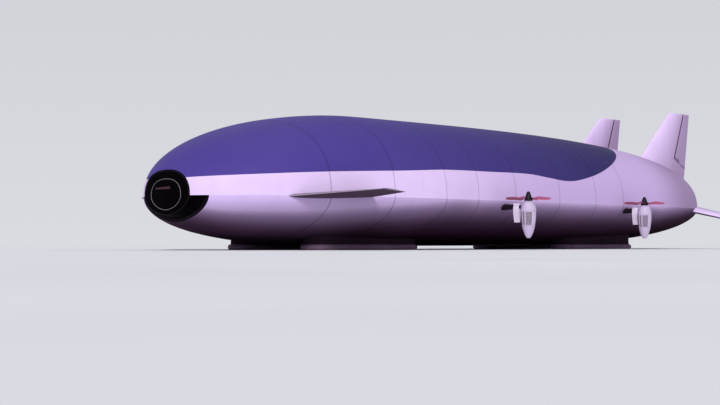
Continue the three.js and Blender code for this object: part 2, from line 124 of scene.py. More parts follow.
# Lower edge of the dark paint: X, height above the chine. It climbs over the crown ahead of the fins.
PAINT_EDGE = (
    (8.5, 0.31), (8.1, 0.35), (7.47, 0.39), (6.18, 0.46), (4.4, 0.53), (3.2, 0.59), (1.8, 0.60), (0.5, 0.60),
    (-0.2, 0.54), (-0.76, 0.49), (-1.22, 0.51), (-1.89, 0.63), (-2.51, 0.79), (-3.42, 1.09), (-4.1, 1.36),
    (-4.6, 1.60), (-5.0, 1.9), (-9.0, 2.5),
)


# Curves and sections

def spline(points, x):
    """Smooth value at x through points sorted by falling x."""
    last = len(points) - 1
    k = 0
    while k < last - 1 and x < points[k + 1][0]:
        k += 1
    (xa, ya), (xb, yb) = points[k], points[k + 1]
    before = points[max(k - 1, 0)]
    after = points[min(k + 2, last)]
    slope_a = (yb - before[1]) / (xb - before[0])
    slope_b = (after[1] - ya) / (after[0] - xa)
    t = min(max((x - xa) / (xb - xa), 0), 1)
    rise = (2 * t**3 - 3 * t**2 + 1) * ya + (3 * t**2 - 2 * t**3) * yb
    return rise + (xb - xa) * ((t**3 - 2 * t**2 + t) * slope_a + (t**3 - t**2) * slope_b)


def smooth(t):
    t = min(max(t, 0), 1)
    return t * t * (3 - 2 * t)


def mix(a, b, t):
    return a + (b - a) * t


def spread(count, low=0.0, high=1.0):
    return [mix(low, high, k / (count - 1)) for k in range(count)]


def full_turn(count):
    """Angles evenly round a full turn."""
    return [math.tau * k / count for k in range(count)]


def about(middle, half):
    return middle - half, middle + half


def taper(share, profile):
    widest, fore, aft = profile
    reach, power = (widest, fore) if share < widest else (1 - widest, aft)
    t = abs(share - widest) / reach
    return max(0.0, 1 - t**power) ** (1 / power)


def hull_at(x, angle, grow=0.0):
    """The hull's surface, grown so much, at X and at an angle round it from the port chine."""
    share = 0.5 - x / (LENGTH + 2 * grow)
    up = math.sin(angle) >= 0
    power = 2 / (UPPER_ROUNDNESS if up else LOWER_ROUNDNESS)
    height = (CROWN + grow) * taper(share, TOP_LINE) if up else (BELLY + grow) * taper(share, KEEL_LINE)
    half = (HALF_WIDTH + grow) * taper(share, PLAN)
    across = math.copysign(abs(math.cos(angle)) ** power, math.cos(angle))
    rise = math.copysign(abs(math.sin(angle)) ** power, math.sin(angle))
    return in_frame(x, half * across, height * rise)


def hull_rings(stations, angles):
    """Points round the hull at pairs of X and growth."""
    return [[hull_at(x, angle, grow) for angle in angles] for x, grow in stations]


def belly_at(x, y, grow=0.0):
    """Height of the hull's underside at X, Y."""
    share = 0.5 - x / (LENGTH + 2 * grow)
    across = min(abs(y) / ((HALF_WIDTH + grow) * taper(share, PLAN)), 1)
    depth = (BELLY + grow) * taper(share, KEEL_LINE)
    return CHINE_Z - depth * (1 - across**LOWER_ROUNDNESS) ** (1 / LOWER_ROUNDNESS)


def in_frame(x, y, z):
    """A point from X and Y of the hull and a height above the chine."""
    return Vector((MID_X + x, y, CHINE_Z + z))


def over_floor(x, y, z):
    """A point from X and Y of the hull and a height over the floor."""
    return Vector((MID_X + x, y, z))


# Meshes

class Shape:
    """Points and faces collected before they become a piece."""

    def __init__(self, points=(), faces=()):
        self.points = [Vector(p) for p in points]
        self.faces = [tuple(face) for face in faces]

    def add(self, points, faces):
        start = len(self.points)
        self.points += [Vector(p) for p in points]
        self.faces += [tuple(start + k for k in face) for face in faces]
        return self

    def grid(self, rows, wrap=False, flip=False):
        """A sheet through rows of points."""
        across = len(rows[0])
        faces = []
        for i in range(len(rows) - 1):
            for j in range(across if wrap else across - 1):
                k = (j + 1) % across
                face = (i * across + j, i * across + k, (i + 1) * across + k, (i + 1) * across + j)
                faces.append(face[::-1] if flip else face)
        return self.add([p for row in rows for p in row], faces)

    def shell(self, outer, inner, wrap=False):
        """The solid between two sheets of the same size."""
        self.grid(outer, wrap)
        self.grid(inner, wrap, flip=True)
        self.grid([outer[0], inner[0]], wrap, flip=True)
        self.grid([outer[-1], inner[-1]], wrap)
        if not wrap:
            self.grid([[row[0] for row in outer], [row[0] for row in inner]])
            self.grid([[row[-1] for row in outer], [row[-1] for row in inner]], flip=True)
        return self

    def loft(self, rings, loop=False):
        """A closed solid through rings of points."""
        if loop:
            return self.grid(rings + [rings[0]], wrap=True)
        self.grid(rings, wrap=True)
        cap = tuple(range(len(rings[0])))
        self.add(rings[0], [cap[::-1]])
        return self.add(rings[-1], [cap])

    def prism(self, outline, offset):
        """A flat outline pushed along offset."""
        return self.loft([outline, [p + Vector(offset) for p in outline]])

    def box(self, xs, ys, zs):
        """A box between two values each of X, Y and height above the chine."""
        (x0, x1), (y0, y1), (z0, z1) = (sorted(pair) for pair in (xs, ys, zs))
        corners = ((x0, y0), (x1, y0), (x1, y1), (x0, y1))
        return self.prism([in_frame(x, y, z0) for x, y in corners], (0, 0, z1 - z0))

    def rod(self, start, end, radius, end_radius=None, sides=32):
        """A round bar, tapered if its end has a radius of its own."""
        along = (end - start).normalized()
        side = along.orthogonal().normalized()
        other = along.cross(side)
        turns = [math.cos(t) * side + math.sin(t) * other for t in full_turn(sides)]
        ends = (start, radius), (end, radius if end_radius is None else end_radius)
        return self.loft([[point + size * turn for turn in turns] for point, size in ends])

    def lathe(self, centre, outline, sides=64):
        """An upright turned solid: outline is radius, height from bottom to top."""
        return self.loft([[centre + Vector((radius * math.cos(t), radius * math.sin(t), height))
                           for t in full_turn(sides)] for radius, height in outline])

    def mirrored(self):
        return Shape([(p.x, -p.y, p.z) for p in self.points], self.faces)


# What turns a shape made to port into the one for each side.
SIDES = {"port": lambda shape: shape, "starboard": Shape.mirrored}
WELD = 2e-5
SHARP = math.radians(33)
BEVEL_FROM = math.radians(40)


def tidy(data):
    """Welds a mesh, turns its faces outwards and shades it smooth but for its sharp edges."""
    work = bmesh.new()
    work.from_mesh(data)
    bmesh.ops.remove_doubles(work, verts=work.verts, dist=WELD)
    bmesh.ops.dissolve_degenerate(work, edges=work.edges, dist=WELD)
    bmesh.ops.recalc_face_normals(work, faces=work.faces)
    for face in work.faces:
        face.smooth = True
    for edge in work.edges:
        edge.smooth = not (edge.is_manifold and edge.calc_face_angle(0) > SHARP)
    work.to_mesh(data)
    work.free()


def new_object(name, data):
    obj = bpy.data.objects.new(name, data)
    bpy.context.scene.collection.objects.link(obj)
    return obj


def aimed_object(name, data, where, direction):
    """A lamp or camera that points along a direction."""
    obj = new_object(name, data)
    obj.location = where
    obj.rotation_euler = direction.to_track_quat("-Z", "Y").to_euler()
    return obj


def raw_object(name, shape):
    data = bpy.data.meshes.new(name)
    data.from_pydata([tuple(p) for p in shape.points], [], shape.faces)
    return new_object(name, data)


def paint_with(obj, material):
    obj.data.materials.clear()
    obj.data.materials.append(material)


def place(obj, material, body, nodes=()):
    paint_with(obj, material)
    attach(obj, body)
    if nodes:
        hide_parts(*nodes)
    return obj


def piece(name, shape, material, body, nodes=(), bevel=0.0):
    obj = raw_object(name, shape)
    tidy(obj.data)
    if bevel:
        round_edges(obj, bevel)
    return place(obj, material, body, nodes)


def apply_modifiers(obj):
    bpy.context.view_layer.update()
    evaluated = obj.evaluated_get(bpy.context.evaluated_depsgraph_get())
    data = bpy.data.meshes.new_from_object(evaluated)
    obj.modifiers.clear()
    obj.data = data


def round_edges(obj, width):
    change = obj.modifiers.new("edges", "BEVEL")
    change.width = width
    change.segments = 2
    change.limit_method = "ANGLE"
    change.angle_limit = BEVEL_FROM
    change.harden_normals = True
    apply_modifiers(obj)


def carve(obj, shape, operation="DIFFERENCE"):
    """Cuts a shape out of an object, or keeps only what is inside it."""
    tool = raw_object(obj.name + "_tool", shape)
    tidy(tool.data)
    tidy(obj.data)
    change = obj.modifiers.new("carve", "BOOLEAN")
    change.operation = operation
    change.solver = "EXACT"
    change.object = tool
    apply_modifiers(obj)
    bpy.data.objects.remove(tool)


def carved_shape(shape, *cuts):
    """A shape after cuts, each a shape and an operation."""
    obj = raw_object("carved", shape)
    for cut in cuts:
        carve(obj, *cut)
    result = Shape([v.co for v in obj.data.vertices], [p.vertices for p in obj.data.polygons])
    bpy.data.objects.remove(obj)
    return result


def carry(obj, name, value_at):
    """Stores a value at each point of a piece, for its material to read."""
    values = obj.data.attributes.new(name, "FLOAT", "POINT").data
    for value, vertex in zip(values, obj.data.vertices):
        value.value = value_at(vertex)


# Materials

NOISE_ROUGHNESS = 0.55


class Finish:
    """A new material and short hand for wiring its nodes."""

    def __init__(self, name, colour, roughness, specular=0.5, metallic=0.0):
        self.material = bpy.data.materials.new(name)
        self.material.use_nodes = True
        self.tree = self.material.node_tree
        self.shader = self.tree.nodes["Principled BSDF"]
        for socket, value in (("Base Color", (*colour, 1)), ("Roughness", roughness),
                              ("Specular IOR Level", specular), ("Metallic", metallic)):
            self.shader.inputs[socket].default_value = value
        self.where = self.new("ShaderNodeTexCoord").outputs["Object"]

    def new(self, kind, **settings):
        node = self.tree.nodes.new(kind)
        for key, value in settings.items():
            setattr(node, key, value)
        return node

    def link(self, source, target):
        self.tree.links.new(source, target)

    def noise(self, scale, detail=4.0, stretch=(1, 1, 1)):
        mapping = self.new("ShaderNodeMapping")
        mapping.inputs["Scale"].default_value = stretch
        self.link(self.where, mapping.inputs["Vector"])
        node = self.new("ShaderNodeTexNoise")
        for socket, value in (("Scale", scale), ("Detail", detail), ("Roughness", NOISE_ROUGHNESS)):
            node.inputs[socket].default_value = value
        self.link(mapping.outputs["Vector"], node.inputs["Vector"])
        return node.outputs["Fac"]

    def remap(self, source, low, high, to_low=0, to_high=1):
        node = self.new("ShaderNodeMapRange", interpolation_type="SMOOTHSTEP")
        for key, value in zip(("From Min", "From Max", "To Min", "To Max"), (low, high, to_low, to_high)):
            node.inputs[key].default_value = value
        self.link(source, node.inputs["Value"])
        return node.outputs["Result"]

    def mottle(self, scale, detail, to_low=0, to_high=1, low=0.3, high=0.7, stretch=(1, 1, 1)):
        """Noise spread between two values."""
        return self.remap(self.noise(scale, detail, stretch), low, high, to_low, to_high)

    def blend(self, factor, one, other):
        """Colour mix; one and other are colours or sockets."""
        node = self.new("ShaderNodeMix", data_type="RGBA")
        for value, socket in ((factor, node.inputs[0]), (one, node.inputs[6]), (other, node.inputs[7])):
            if isinstance(value, bpy.types.NodeSocket):
                self.link(value, socket)
            else:
                socket.default_value = (*value, 1)
        return node.outputs[2]

    def axis(self, name):
        node = self.new("ShaderNodeSeparateXYZ")
        self.link(self.where, node.inputs[0])
        return node.outputs[name]

    def carried(self, name):
        """The value that the mesh carries under a name."""
        return self.new("ShaderNodeAttribute", attribute_name=name).outputs["Fac"]

    def base(self):
        """What is wired to the base colour so far."""
        return self.shader.inputs["Base Color"].links[0].from_socket

    def colour(self, source):
        self.link(source, self.shader.inputs["Base Color"])

    def roughness(self, source):
        self.link(source, self.shader.inputs["Roughness"])

    def bump(self, source, distance, strength):
        node = self.new("ShaderNodeBump")
        node.inputs["Distance"].default_value = distance
        node.inputs["Strength"].default_value = strength
        self.link(source, node.inputs["Height"])
        self.link(node.outputs["Normal"], self.shader.inputs["Normal"])


def shade(colour, factor):
    return tuple(channel * factor for channel in colour)


# The pale band and the dark paint above it, at the bow and at the stern: lighter at the bow as painted
# light, darker at the stern as painted shade.
BAND_BOW_LIT = (0.72, 0.555, 0.85)
BAND_STERN_SHADED = (0.53, 0.39, 0.67)
NIGHT_BOW_LIT = (0.070, 0.047, 0.256)
NIGHT_STERN_SHADED = (0.025, 0.0190, 0.098)
TAIL_SHADE = (0.33, 0.228, 0.395)
# X between which the tones fade, and the share of the second tone at each: along the band, at its tail
# and along the dark paint. Each fade is painted shade, deepening from the bow to the stern and tail.
BAND_SHADE_FADE = (-0.2, 4.6, 0.97, 0)
TAIL_FADE = (-6.2, -4.0, 1, 0)
NIGHT_SHADE_FADE = (-4.5, 7.5, 0, 1)
PAINT_EDGE_HALF = 0.002
# Values that the mesh carries between which a tone gives way to the next: back along a tail surface and
# round to a cushion's inner side, both painted shade, and out along a blade.
CHORD_SHADE_FADE = (0.02, 0.85)
INNER_SHADE_FADE = (0.40, 0.66)
RED_FADE = (0.34, 0.37)
# Tail surfaces at the leading edge and at the trailing edge, and what faces down: the trailing edge and the
# underside are darker as painted shade.
WHITE = (0.74, 0.57, 0.88)
SHADED_WHITE = (0.37, 0.26, 0.44)
UNDERSIDE_SHADE = (0.11, 0.072, 0.14)
DOWN_FACING = 0.6
# Lower hull paint: distance down from the chine as a share of the depth, colour. The darkening down to the
# keel is painted shade. Below zero lies the bright bow, in painted light.
BELLY_SHADE_TONES = (
    (-0.30, (0.60, 0.455, 0.765)), (0.0, (0.50, 0.38, 0.62)), (0.08, (0.36, 0.265, 0.44)),
    (0.15, (0.265, 0.187, 0.33)), (0.23, (0.207, 0.140, 0.243)), (0.37, (0.108, 0.064, 0.122)),
    (0.49, (0.060, 0.029, 0.062)), (0.62, (0.034, 0.0145, 0.034)), (0.80, (0.020, 0.0070, 0.015)),
    (1.0, (0.020, 0.0060, 0.011)),
)
DEPTH_LOW = -0.5
# X where those tones start to move up or down, and by how much of the depth for each metre: up towards
# the bow as painted light, down towards the stern as painted shade.
BOW_LIGHT_START = 3.0
BOW_LIGHT_RISE = 0.092
STERN_SHADE_START = -5.0
STERN_SHADE_DROP = 0.135
LEAST_KEEL = 0.05


def depth_value(share):
    return (share - DEPTH_LOW) / (1 - DEPTH_LOW)


def painted(name, colour, roughness=0.5, soil=0.9, specular=0.15):
    """Painted composite skin: faint cloudy tone, streaks of dirt and orange-peel."""
    nodes = Finish(name, colour, roughness, specular)
    tone = nodes.blend(nodes.mottle(0.9, 4), shade(colour, 0.95), shade(colour, 1.03))
    dirt = nodes.mottle(2.2, 3, 0, 0.5, 0.5, 0.8, (1.2, 1.2, 0.25))
    nodes.colour(nodes.blend(dirt, tone, shade(colour, soil)))
    nodes.roughness(nodes.mottle(14, 5, roughness - 0.03, roughness + 0.05))
    nodes.bump(nodes.noise(70, 2), 0.0004, 0.02)
    return nodes


def hull_paint_and_shade(name, factor=1.0):
    """Pale band below, dark paint above the edge that the mesh carries, both with painted shade deepening
    towards the stern.
    """
    pale = shade(BAND_BOW_LIT, factor)
    nodes = painted(name, pale, specular=0.05)
    x = nodes.axis("X")
    # Painted shade: the band darkens from the bow to the stern, and more round the tail.
    band = nodes.blend(nodes.remap(x, *BAND_SHADE_FADE), nodes.base(), shade(BAND_STERN_SHADED, factor))
    band = nodes.blend(nodes.remap(x, *TAIL_FADE), band, shade(TAIL_SHADE, factor))
    # Painted light at the bow and painted shade at the stern on the dark paint.
    night = nodes.blend(nodes.remap(x, *NIGHT_SHADE_FADE), shade(NIGHT_STERN_SHADED, factor), shade(NIGHT_BOW_LIT, factor))
    night = nodes.blend(nodes.mottle(0.7, 3, 0, 0.008), night, pale)
    above = nodes.remap(nodes.carried("paint"), -PAINT_EDGE_HALF, PAINT_EDGE_HALF)
    nodes.colour(nodes.blend(above, band, night))
    return nodes.material


def lower_paint_and_shade(name, factor=1.0):
    """Lavender at the chine, painted shade darkening down to a plum grey keel, by the depth that the mesh
    carries.
    """
    nodes = painted(name, BELLY_SHADE_TONES[2][1], 0.65, 0.86, 0.005)
    # Painted shade: a ramp of tones that darkens with depth below the chine.
    tones = nodes.new("ShaderNodeValToRGB")
    stops = tones.color_ramp.elements
    while len(stops) < len(BELLY_SHADE_TONES):
        stops.new(0.5)
    for stop, (share, colour) in zip(stops, BELLY_SHADE_TONES):
        stop.position = depth_value(share)
        stop.color = (*shade(colour, factor), 1)
    nodes.link(nodes.carried("depth"), tones.inputs["Fac"])
    mottled = nodes.new("ShaderNodeVectorMath", operation="SCALE")
    nodes.link(tones.outputs["Color"], mottled.inputs[0])
    nodes.link(nodes.mottle(0.9, 4, 0.94, 1.05), mottled.inputs["Scale"])
    nodes.colour(mottled.outputs["Vector"])
    return nodes.material


def shaded_surface_paint():
    """White tail surface, with painted shade towards its trailing edge and below, by the values that the
    mesh carries.
    """
    nodes = painted("surface_white_painted_shade", WHITE, 0.5, 0.88)
    top = nodes.blend(nodes.remap(nodes.carried("chord"), *CHORD_SHADE_FADE), nodes.base(), SHADED_WHITE)
    nodes.colour(nodes.blend(nodes.remap(nodes.carried("under"), 0, 1), top, UNDERSIDE_SHADE))
    return nodes.material


def glass():
    """Near black glazing with a faint smear, too rough to mirror the room."""
    nodes = Finish("dark_glazing", (0.004, 0.003, 0.005), 0.3, 0.008)
    smear = nodes.mottle(1.6, 4, low=0.35, high=0.75)
    nodes.colour(nodes.blend(smear, (0.0006, 0.0003, 0.0007), (0.0020, 0.0009, 0.0018)))
    nodes.roughness(nodes.mottle(5, 3, 0.28, 0.36, low=0.35))
    nodes.bump(nodes.noise(1.4, 2), 0.001, 0.05)
    return nodes.material


def trim(name, colour, roughness, specular=0.5, metallic=0.0):
    """Paint or metal with a fine scatter of wear."""
    nodes = Finish(name, colour, roughness, specular, metallic)
    wear = nodes.mottle(40, 6, low=0.35, high=0.72)
    nodes.colour(nodes.blend(wear, shade(colour, 0.85), shade(colour, 1.12)))
    nodes.roughness(nodes.mottle(60, 4, roughness - 0.06, roughness + 0.14))
    nodes.bump(nodes.noise(700, 2), 0.0002, 0.2)
    return nodes.material


def coated_fabric(name, colour, roughness, specular):
    """Rubber-coated cloth: a fine plain weave, scuffs and pale rubbed patches."""
    nodes = Finish(name, colour, roughness, specular)
    tone = nodes.blend(nodes.mottle(3.5, 6), shade(colour, 0.86), shade(colour, 1.1))
    scuff = nodes.mottle(18, 8, 0, 0.7, 0.6, 0.78, (1, 1, 2.5))
    nodes.colour(nodes.blend(scuff, tone, shade(colour, 1.5)))
    weave = nodes.new("ShaderNodeMath", operation="MAXIMUM")
    for direction, socket in zip("XZ", weave.inputs):
        thread = nodes.new("ShaderNodeTexWave", bands_direction=direction)
        thread.inputs["Scale"].default_value = 170
        thread.inputs["Distortion"].default_value = 0.4
        nodes.link(nodes.where, thread.inputs["Vector"])
        nodes.link(thread.outputs["Fac"], socket)
    nodes.bump(weave.outputs[0], 0.0004, 0.35)
    nodes.roughness(nodes.mottle(25, 5, roughness - 0.1, roughness + 0.12))
    return nodes


def cushion_fabric_and_shade():
    """Plum grey cloth with a near black inner side as painted shade, by the value that the mesh carries."""
    nodes = coated_fabric("cushion_fabric_and_shade", (0.185, 0.116, 0.189), 0.5, 0.06)
    inner = nodes.remap(nodes.carried("inner"), *INNER_SHADE_FADE)
    nodes.colour(nodes.blend(inner, nodes.base(), (0.030, 0.014, 0.029)))
    return nodes.material


def propeller_paint():
    """Black hub and shanks, red outer blades with a soft edge between them."""
    nodes = Finish("propeller_paint", (0.02, 0.02, 0.022), 0.45, 0.12)
    wear = nodes.mottle(50, 6, low=0.35)
    black = nodes.blend(wear, (0.006, 0.005, 0.008), (0.016, 0.013, 0.019))
    tip = nodes.blend(wear, (0.36, 0.080, 0.165), (0.44, 0.11, 0.21))
    nodes.colour(nodes.blend(nodes.remap(nodes.carried("reach"), *RED_FADE), black, tip))
    nodes.bump(nodes.noise(500, 2), 0.0002, 0.15)
    return nodes.material


# Hull paints above the chine: painted light at the bow, painted shade towards the stern.
PAINT_AND_SHADE = hull_paint_and_shade("hull_two_tone_paint_and_shade")
SEAM_PAINT_AND_SHADE = hull_paint_and_shade("hull_seam_paint_and_shade", 0.6)
# Lower hull paints: painted shade from the chine down to the keel.
LOWER_SHADED = lower_paint_and_shade("hull_lower_painted_shade")
LOWER_SEAM_SHADED = lower_paint_and_shade("lower_seam_painted_shade", 0.5)
GLASS = glass()
# Tail surfaces: painted shade towards the trailing edge and on the underside.
SURFACE_SHADED = shaded_surface_paint()
# Painted shade: the canard is painted all over in the dark plum of its shaded underside.
CANARD_SHADE = painted("canard_painted_shade", (0.066, 0.036, 0.066), 0.55, 0.9, 0.08).material
STUB_WHITE = painted("stub_wing_paint", (0.80, 0.70, 0.86), 0.4, 0.92, 0.3).material
ENGINE_WHITE = painted("engine_white_paint", (0.54, 0.445, 0.63), 0.4, 0.92, 0.25).material
# Painted light: a pale strip for the lit leading edge and tip of the canard.
LIT_EDGE = trim("lit_edge_strip", (0.36, 0.29, 0.39), 0.5, 0.2)
HEAD = trim("hoist_head_paint", (0.55, 0.46, 0.58), 0.4)
PANEL = trim("grey_panel", (0.28, 0.23, 0.31), 0.5, 0.2)
RIB = trim("panel_rib", (0.19, 0.155, 0.22), 0.5, 0.2)
DARK = trim("dark_fairing", (0.012, 0.007, 0.015), 0.5, 0.06)
SEAL = trim("hinge_seal", (0.085, 0.034, 0.055), 0.6, 0.1)
CANARD_SEAL = trim("canard_seal", (0.036, 0.018, 0.034), 0.6, 0.1)
STEEL = trim("hoist_steel", (0.42, 0.41, 0.44), 0.38, metallic=0.7)
RING = trim("glazing_ring", (0.22, 0.19, 0.22), 0.45, 0.2)
SILL = trim("nose_sill", (0.050, 0.024, 0.035), 0.6, 0.05)
# Painted shade: a dark sheet under the roof over the chin.
VISOR_SHADE = trim("visor_shade_sheet", (0.085, 0.045, 0.085), 0.6, 0.05)
BLACK = trim("black_frame", (0.005, 0.003, 0.006), 0.5, 0.05)
# Painted shade: the bay's lining and ribs are near black, as the shaded hollow.
BAY_SHADE_LINING = trim("bay_lining", (0.0055, 0.0022, 0.0030), 0.7, 0.05)
BAY_RIB_SHADE = trim("bay_rib_shade", (0.010, 0.0050, 0.0065), 0.6, 0.05)
RIM_PAINT = trim("rim_paint", (0.034, 0.016, 0.027), 0.6, 0.02)
BEAD = trim("rim_bead", (0.100, 0.060, 0.078), 0.55, 0.05)
# Painted shade: the cushion cloth turns near black round the ring's inner side.
FABRIC_AND_SHADE = cushion_fabric_and_shade()
# Painted shade: the skirt is as dark as the shaded belly around it.
SKIRT_SHADE = coated_fabric("skirt_painted_shade", (0.026, 0.0125, 0.024), 0.75, 0.03).material
# Painted shade: a near black sheet for the shade inside each ring.
SHADE_LINER = coated_fabric("cushion_shade_liner", (0.0055, 0.0025, 0.0050), 0.8, 0.03).material
PROP = propeller_paint()


# Hull

UPPER_STEPS = 96
LOWER_STEPS = 84
# Rings at the bow, along the middle and at the stern, and the X between those parts.
BOW_RINGS = 44
MIDDLE_RINGS = 70
STERN_RINGS = 36
MIDDLE_START = 3.5
MIDDLE_END = -6.5
# The bay's hole in the lower skin is cut from far below up to this height.
HOLE_TOP = -0.02
# The roof over the chin and the thin dark sheet of painted shade under it: how far each is set in from the
# hull's side, and how far the sheet stops short and hangs below the roof.
ROOF_INSET = 0.001
SHADE_SHEET_INSET = 0.0015
SHADE_SHEET_STOP = 0.001
SHADE_SHEET_DROP = 0.0006
SHADE_SHEET_THICK = 0.0008
# Angle from the chine at which the lip round the chin ends.
LIP_STOP = 0.01


def hull_stations(start):
    """X of each ring of the hull behind start, close together where the ends curve fast."""
    tail = -LENGTH / 2
    ahead = [start - (start - MIDDLE_START) * (k / BOW_RINGS) ** 1.8 for k in range(BOW_RINGS)]
    between = [mix(MIDDLE_START, MIDDLE_END, k / MIDDLE_RINGS) for k in range(MIDDLE_RINGS)]
    behind = [tail + (MIDDLE_END - tail) * (1 - k / STERN_RINGS) ** 3 for k in range(STERN_RINGS + 1)]
    return ahead + between + behind


def hull_sheet(stations, angles, grow=0.0):
    squeeze = 1 + 2 * grow / LENGTH
    return hull_rings([(x * squeeze, grow) for x in stations], angles)


def visor_outline(inset, back):
    """The roof over the chin in plan, from the nose glass back to an X, set in from the hull's side."""
    side = [hull_at(x, 0, -inset) for x in spread(7, NOSE_CUT - SKIN - 2 * JOINT_GAP, back)]
    return side + [Vector((p.x, -p.y, p.z)) for p in reversed(side)]


def lifted(points, rise):
    return [p + Vector((0, 0, rise)) for p in points]


def upper_skin():
    angles = spread(UPPER_STEPS + 1, 0, math.pi)
    stations = hull_stations(NOSE_CUT - JOINT_GAP)
    shape = Shape().shell(hull_sheet(stations, angles), hull_sheet(stations, angles, -SKIN))
    shape.prism(lifted(visor_outline(ROOF_INSET, CHIN_CUT - SKIN), 2 * JOINT_GAP), (0, 0, SKIN))
    carry_paint(piece("hull_upper_skin", shape, PAINT_AND_SHADE, "ship", ["hull_upper"]))


def carry_paint(obj):
    """Stores how far each point lies above the lower edge of the dark paint."""
    carry(obj, "paint", lambda vertex: vertex.co.z - CHINE_Z - spline(PAINT_EDGE, vertex.co.x - MID_X))


def belly_shade_at(vertex):
    """A point's place on the scale of the belly's painted shade, moved up towards the bow and down towards
    the stern.
    """
    x = vertex.co.x - MID_X
    keel = BELLY * taper(0.5 - x / LENGTH, KEEL_LINE)
    share = min(1, (CHINE_Z - vertex.co.z) / max(keel, LEAST_KEEL))
    share += STERN_SHADE_DROP * max(0, STERN_SHADE_START - x) - BOW_LIGHT_RISE * max(0, x - BOW_LIGHT_START)
    return max(0, depth_value(share))


def arc(x, half, start, steps):
    """Points in plan round a half circle about the middle line at X."""
    return [(x + half * math.cos(a), half * math.sin(a)) for a in spread(steps + 1, start, start + math.pi)]


def lower_skin():
    angles = spread(LOWER_STEPS + 1, math.pi, math.tau)
    stations = hull_stations(CHIN_CUT - JOINT_GAP)
    sheets = hull_sheet(stations, angles), hull_sheet(stations, angles, -SKIN)
    for row in sheets[0] + sheets[1]:
        row[0].z -= JOINT_GAP
        row[-1].z -= JOINT_GAP
    sides = spread(20, BAY_FORE, BAY_AFT)[1:-1]
    outline = arc(BAY_FORE, BAY_HALF, -math.pi / 2, 24) + [(x, BAY_HALF) for x in sides]
    outline += arc(BAY_AFT, BAY_HALF, math.pi / 2, 24) + [(x, -BAY_HALF) for x in reversed(sides)]
    hole = Shape().prism([in_frame(x, y, -2 * BELLY) for x, y in outline], (0, 0, 2 * BELLY + HOLE_TOP))
    nodes = ["hull_lower_bow", "hull_lower_stern", "hull_lower_port", "hull_lower_starboard"]
    shape = carved_shape(Shape().shell(*sheets), [hole])
    # The depth that the skin carries sets its painted shade.
    carry(piece("hull_lower_skin", shape, LOWER_SHADED, "ship", nodes), "depth", belly_shade_at)


def chin_edges():
    """The black lip round the chin's opening, and a dark sheet under the roof over it as painted shade."""
    angles = spread(61, math.pi + LIP_STOP, math.tau - LIP_STOP)
    faces = [hull_rings([(x, -SKIN), (x, -CHIN_RECESS - SKIN)], angles)
             for x in (CHIN_CUT - JOINT_GAP, CHIN_CUT - SKIN)]
    piece("hull_chin_lip", Shape().shell(*faces), BLACK, "ship")
    outline = visor_outline(SHADE_SHEET_INSET, CHIN_CUT + SHADE_SHEET_STOP)
    shade_sheet = Shape().prism(lifted(outline, -SHADE_SHEET_DROP), (0, 0, SHADE_SHEET_THICK))
    piece("visor_shade_sheet", shade_sheet, VISOR_SHADE, "ship")


# Edges of a seam tape as shares of its half width, and the angle that it stops short of the chine.
SEAM_SHARES = (-1, -0.6, 0.6, 1)
SEAM_STOP = 0.0006


def seam_band(x, angles):
    """Outer and inner sheet of a flat tape over a joint of the skin, across the hull at X."""
    stations = [x + share * SEAM_HALF for share in SEAM_SHARES]
    outer = hull_rings(zip(stations, (0, SEAM_PROUD, SEAM_PROUD, 0)), angles)
    return outer, hull_rings([(station, -SKIN / 2) for station in stations], angles)


def belly_angle(x, y):
    """Angle round the hull, on the starboard underside, at which its skin is |y| from the middle."""
    return math.acos(min(1, (y / hull_at(x, 0).y) ** (LOWER_ROUNDNESS / 2)))


def hull_seams():
    """Tapes over the transverse seams, from chine to chine, but for the cargo bay and its rim."""
    upper, lower = Shape(), Shape()
    port, starboard = math.tau - SEAM_STOP, math.pi + SEAM_STOP
    for x in SEAMS:
        upper.shell(*seam_band(x, spread(81, SEAM_STOP, math.pi - SEAM_STOP)))
        if BAY_AFT - RIM_AFT_HALF < x < RIM_FORE:
            edge = belly_angle(x, RIM_FORE_HALF + 0.01)
            lower.shell(*seam_band(x, spread(41, starboard, math.pi + edge)))
            lower.shell(*seam_band(x, spread(41, math.tau - edge, port)))
        else:
            lower.shell(*seam_band(x, spread(81, starboard, port)))
    carry_paint(piece("hull_seams_upper", upper, SEAM_PAINT_AND_SHADE, "ship"))
    # The depth that the tapes carry sets their painted shade.
    carry(piece("hull_seams_lower", lower, LOWER_SEAM_SHADED, "ship"), "depth", belly_shade_at)


# Nose

NOSE_SET = -SKIN - 2 * JOINT_GAP
NOSE_FOOT = NOSE_CUT - NOSE_BEZEL
NOSE_TIP = LENGTH / 2 + NOSE_SET
ROUND_NOSE = 120
# Where the disc's rings start ahead of its cut, and how far short of the tip they stop.
DISC_START = 0.006
TIP_STOP = 0.0004
# Ring on the disc: its station on the hull's own section, tube radius and how proud it sits.
RING_X = 8.35
RING_TUBE = 0.005
RING_PROUD = 0.002
# Bars over the chin's windows: half turns from the port chine, half angle, depth and height.
CHIN_BARS = (1.12, 1.26, 1.40, 1.60, 1.74, 1.88)
BAR_HALF_ANGLE = 0.008
BAR_SUNK = -0.004
BAR_PROUD = 0.005
BAR_END_GAP = 0.004
# Angle from the chine at which the chin's windows end.
WINDOW_STOP = 0.002
# Bezel round the disc: X from the cut, and growth from the disc's own section.
BEZEL = ((-0.004, -0.004), (-0.004, -0.0002), (0.003, -0.0002), (0.003, -0.012))
# Bar across the glass: X of its back, then Y, underside and height of each end, and its thickness.
SILL_X = NOSE_CUT + NOSE_BULGE * 0.72
SILL_ENDS = ((-0.31, 0.13, 0.035), (0.15, 0.13, 0.05))
SILL_THICK = 0.012


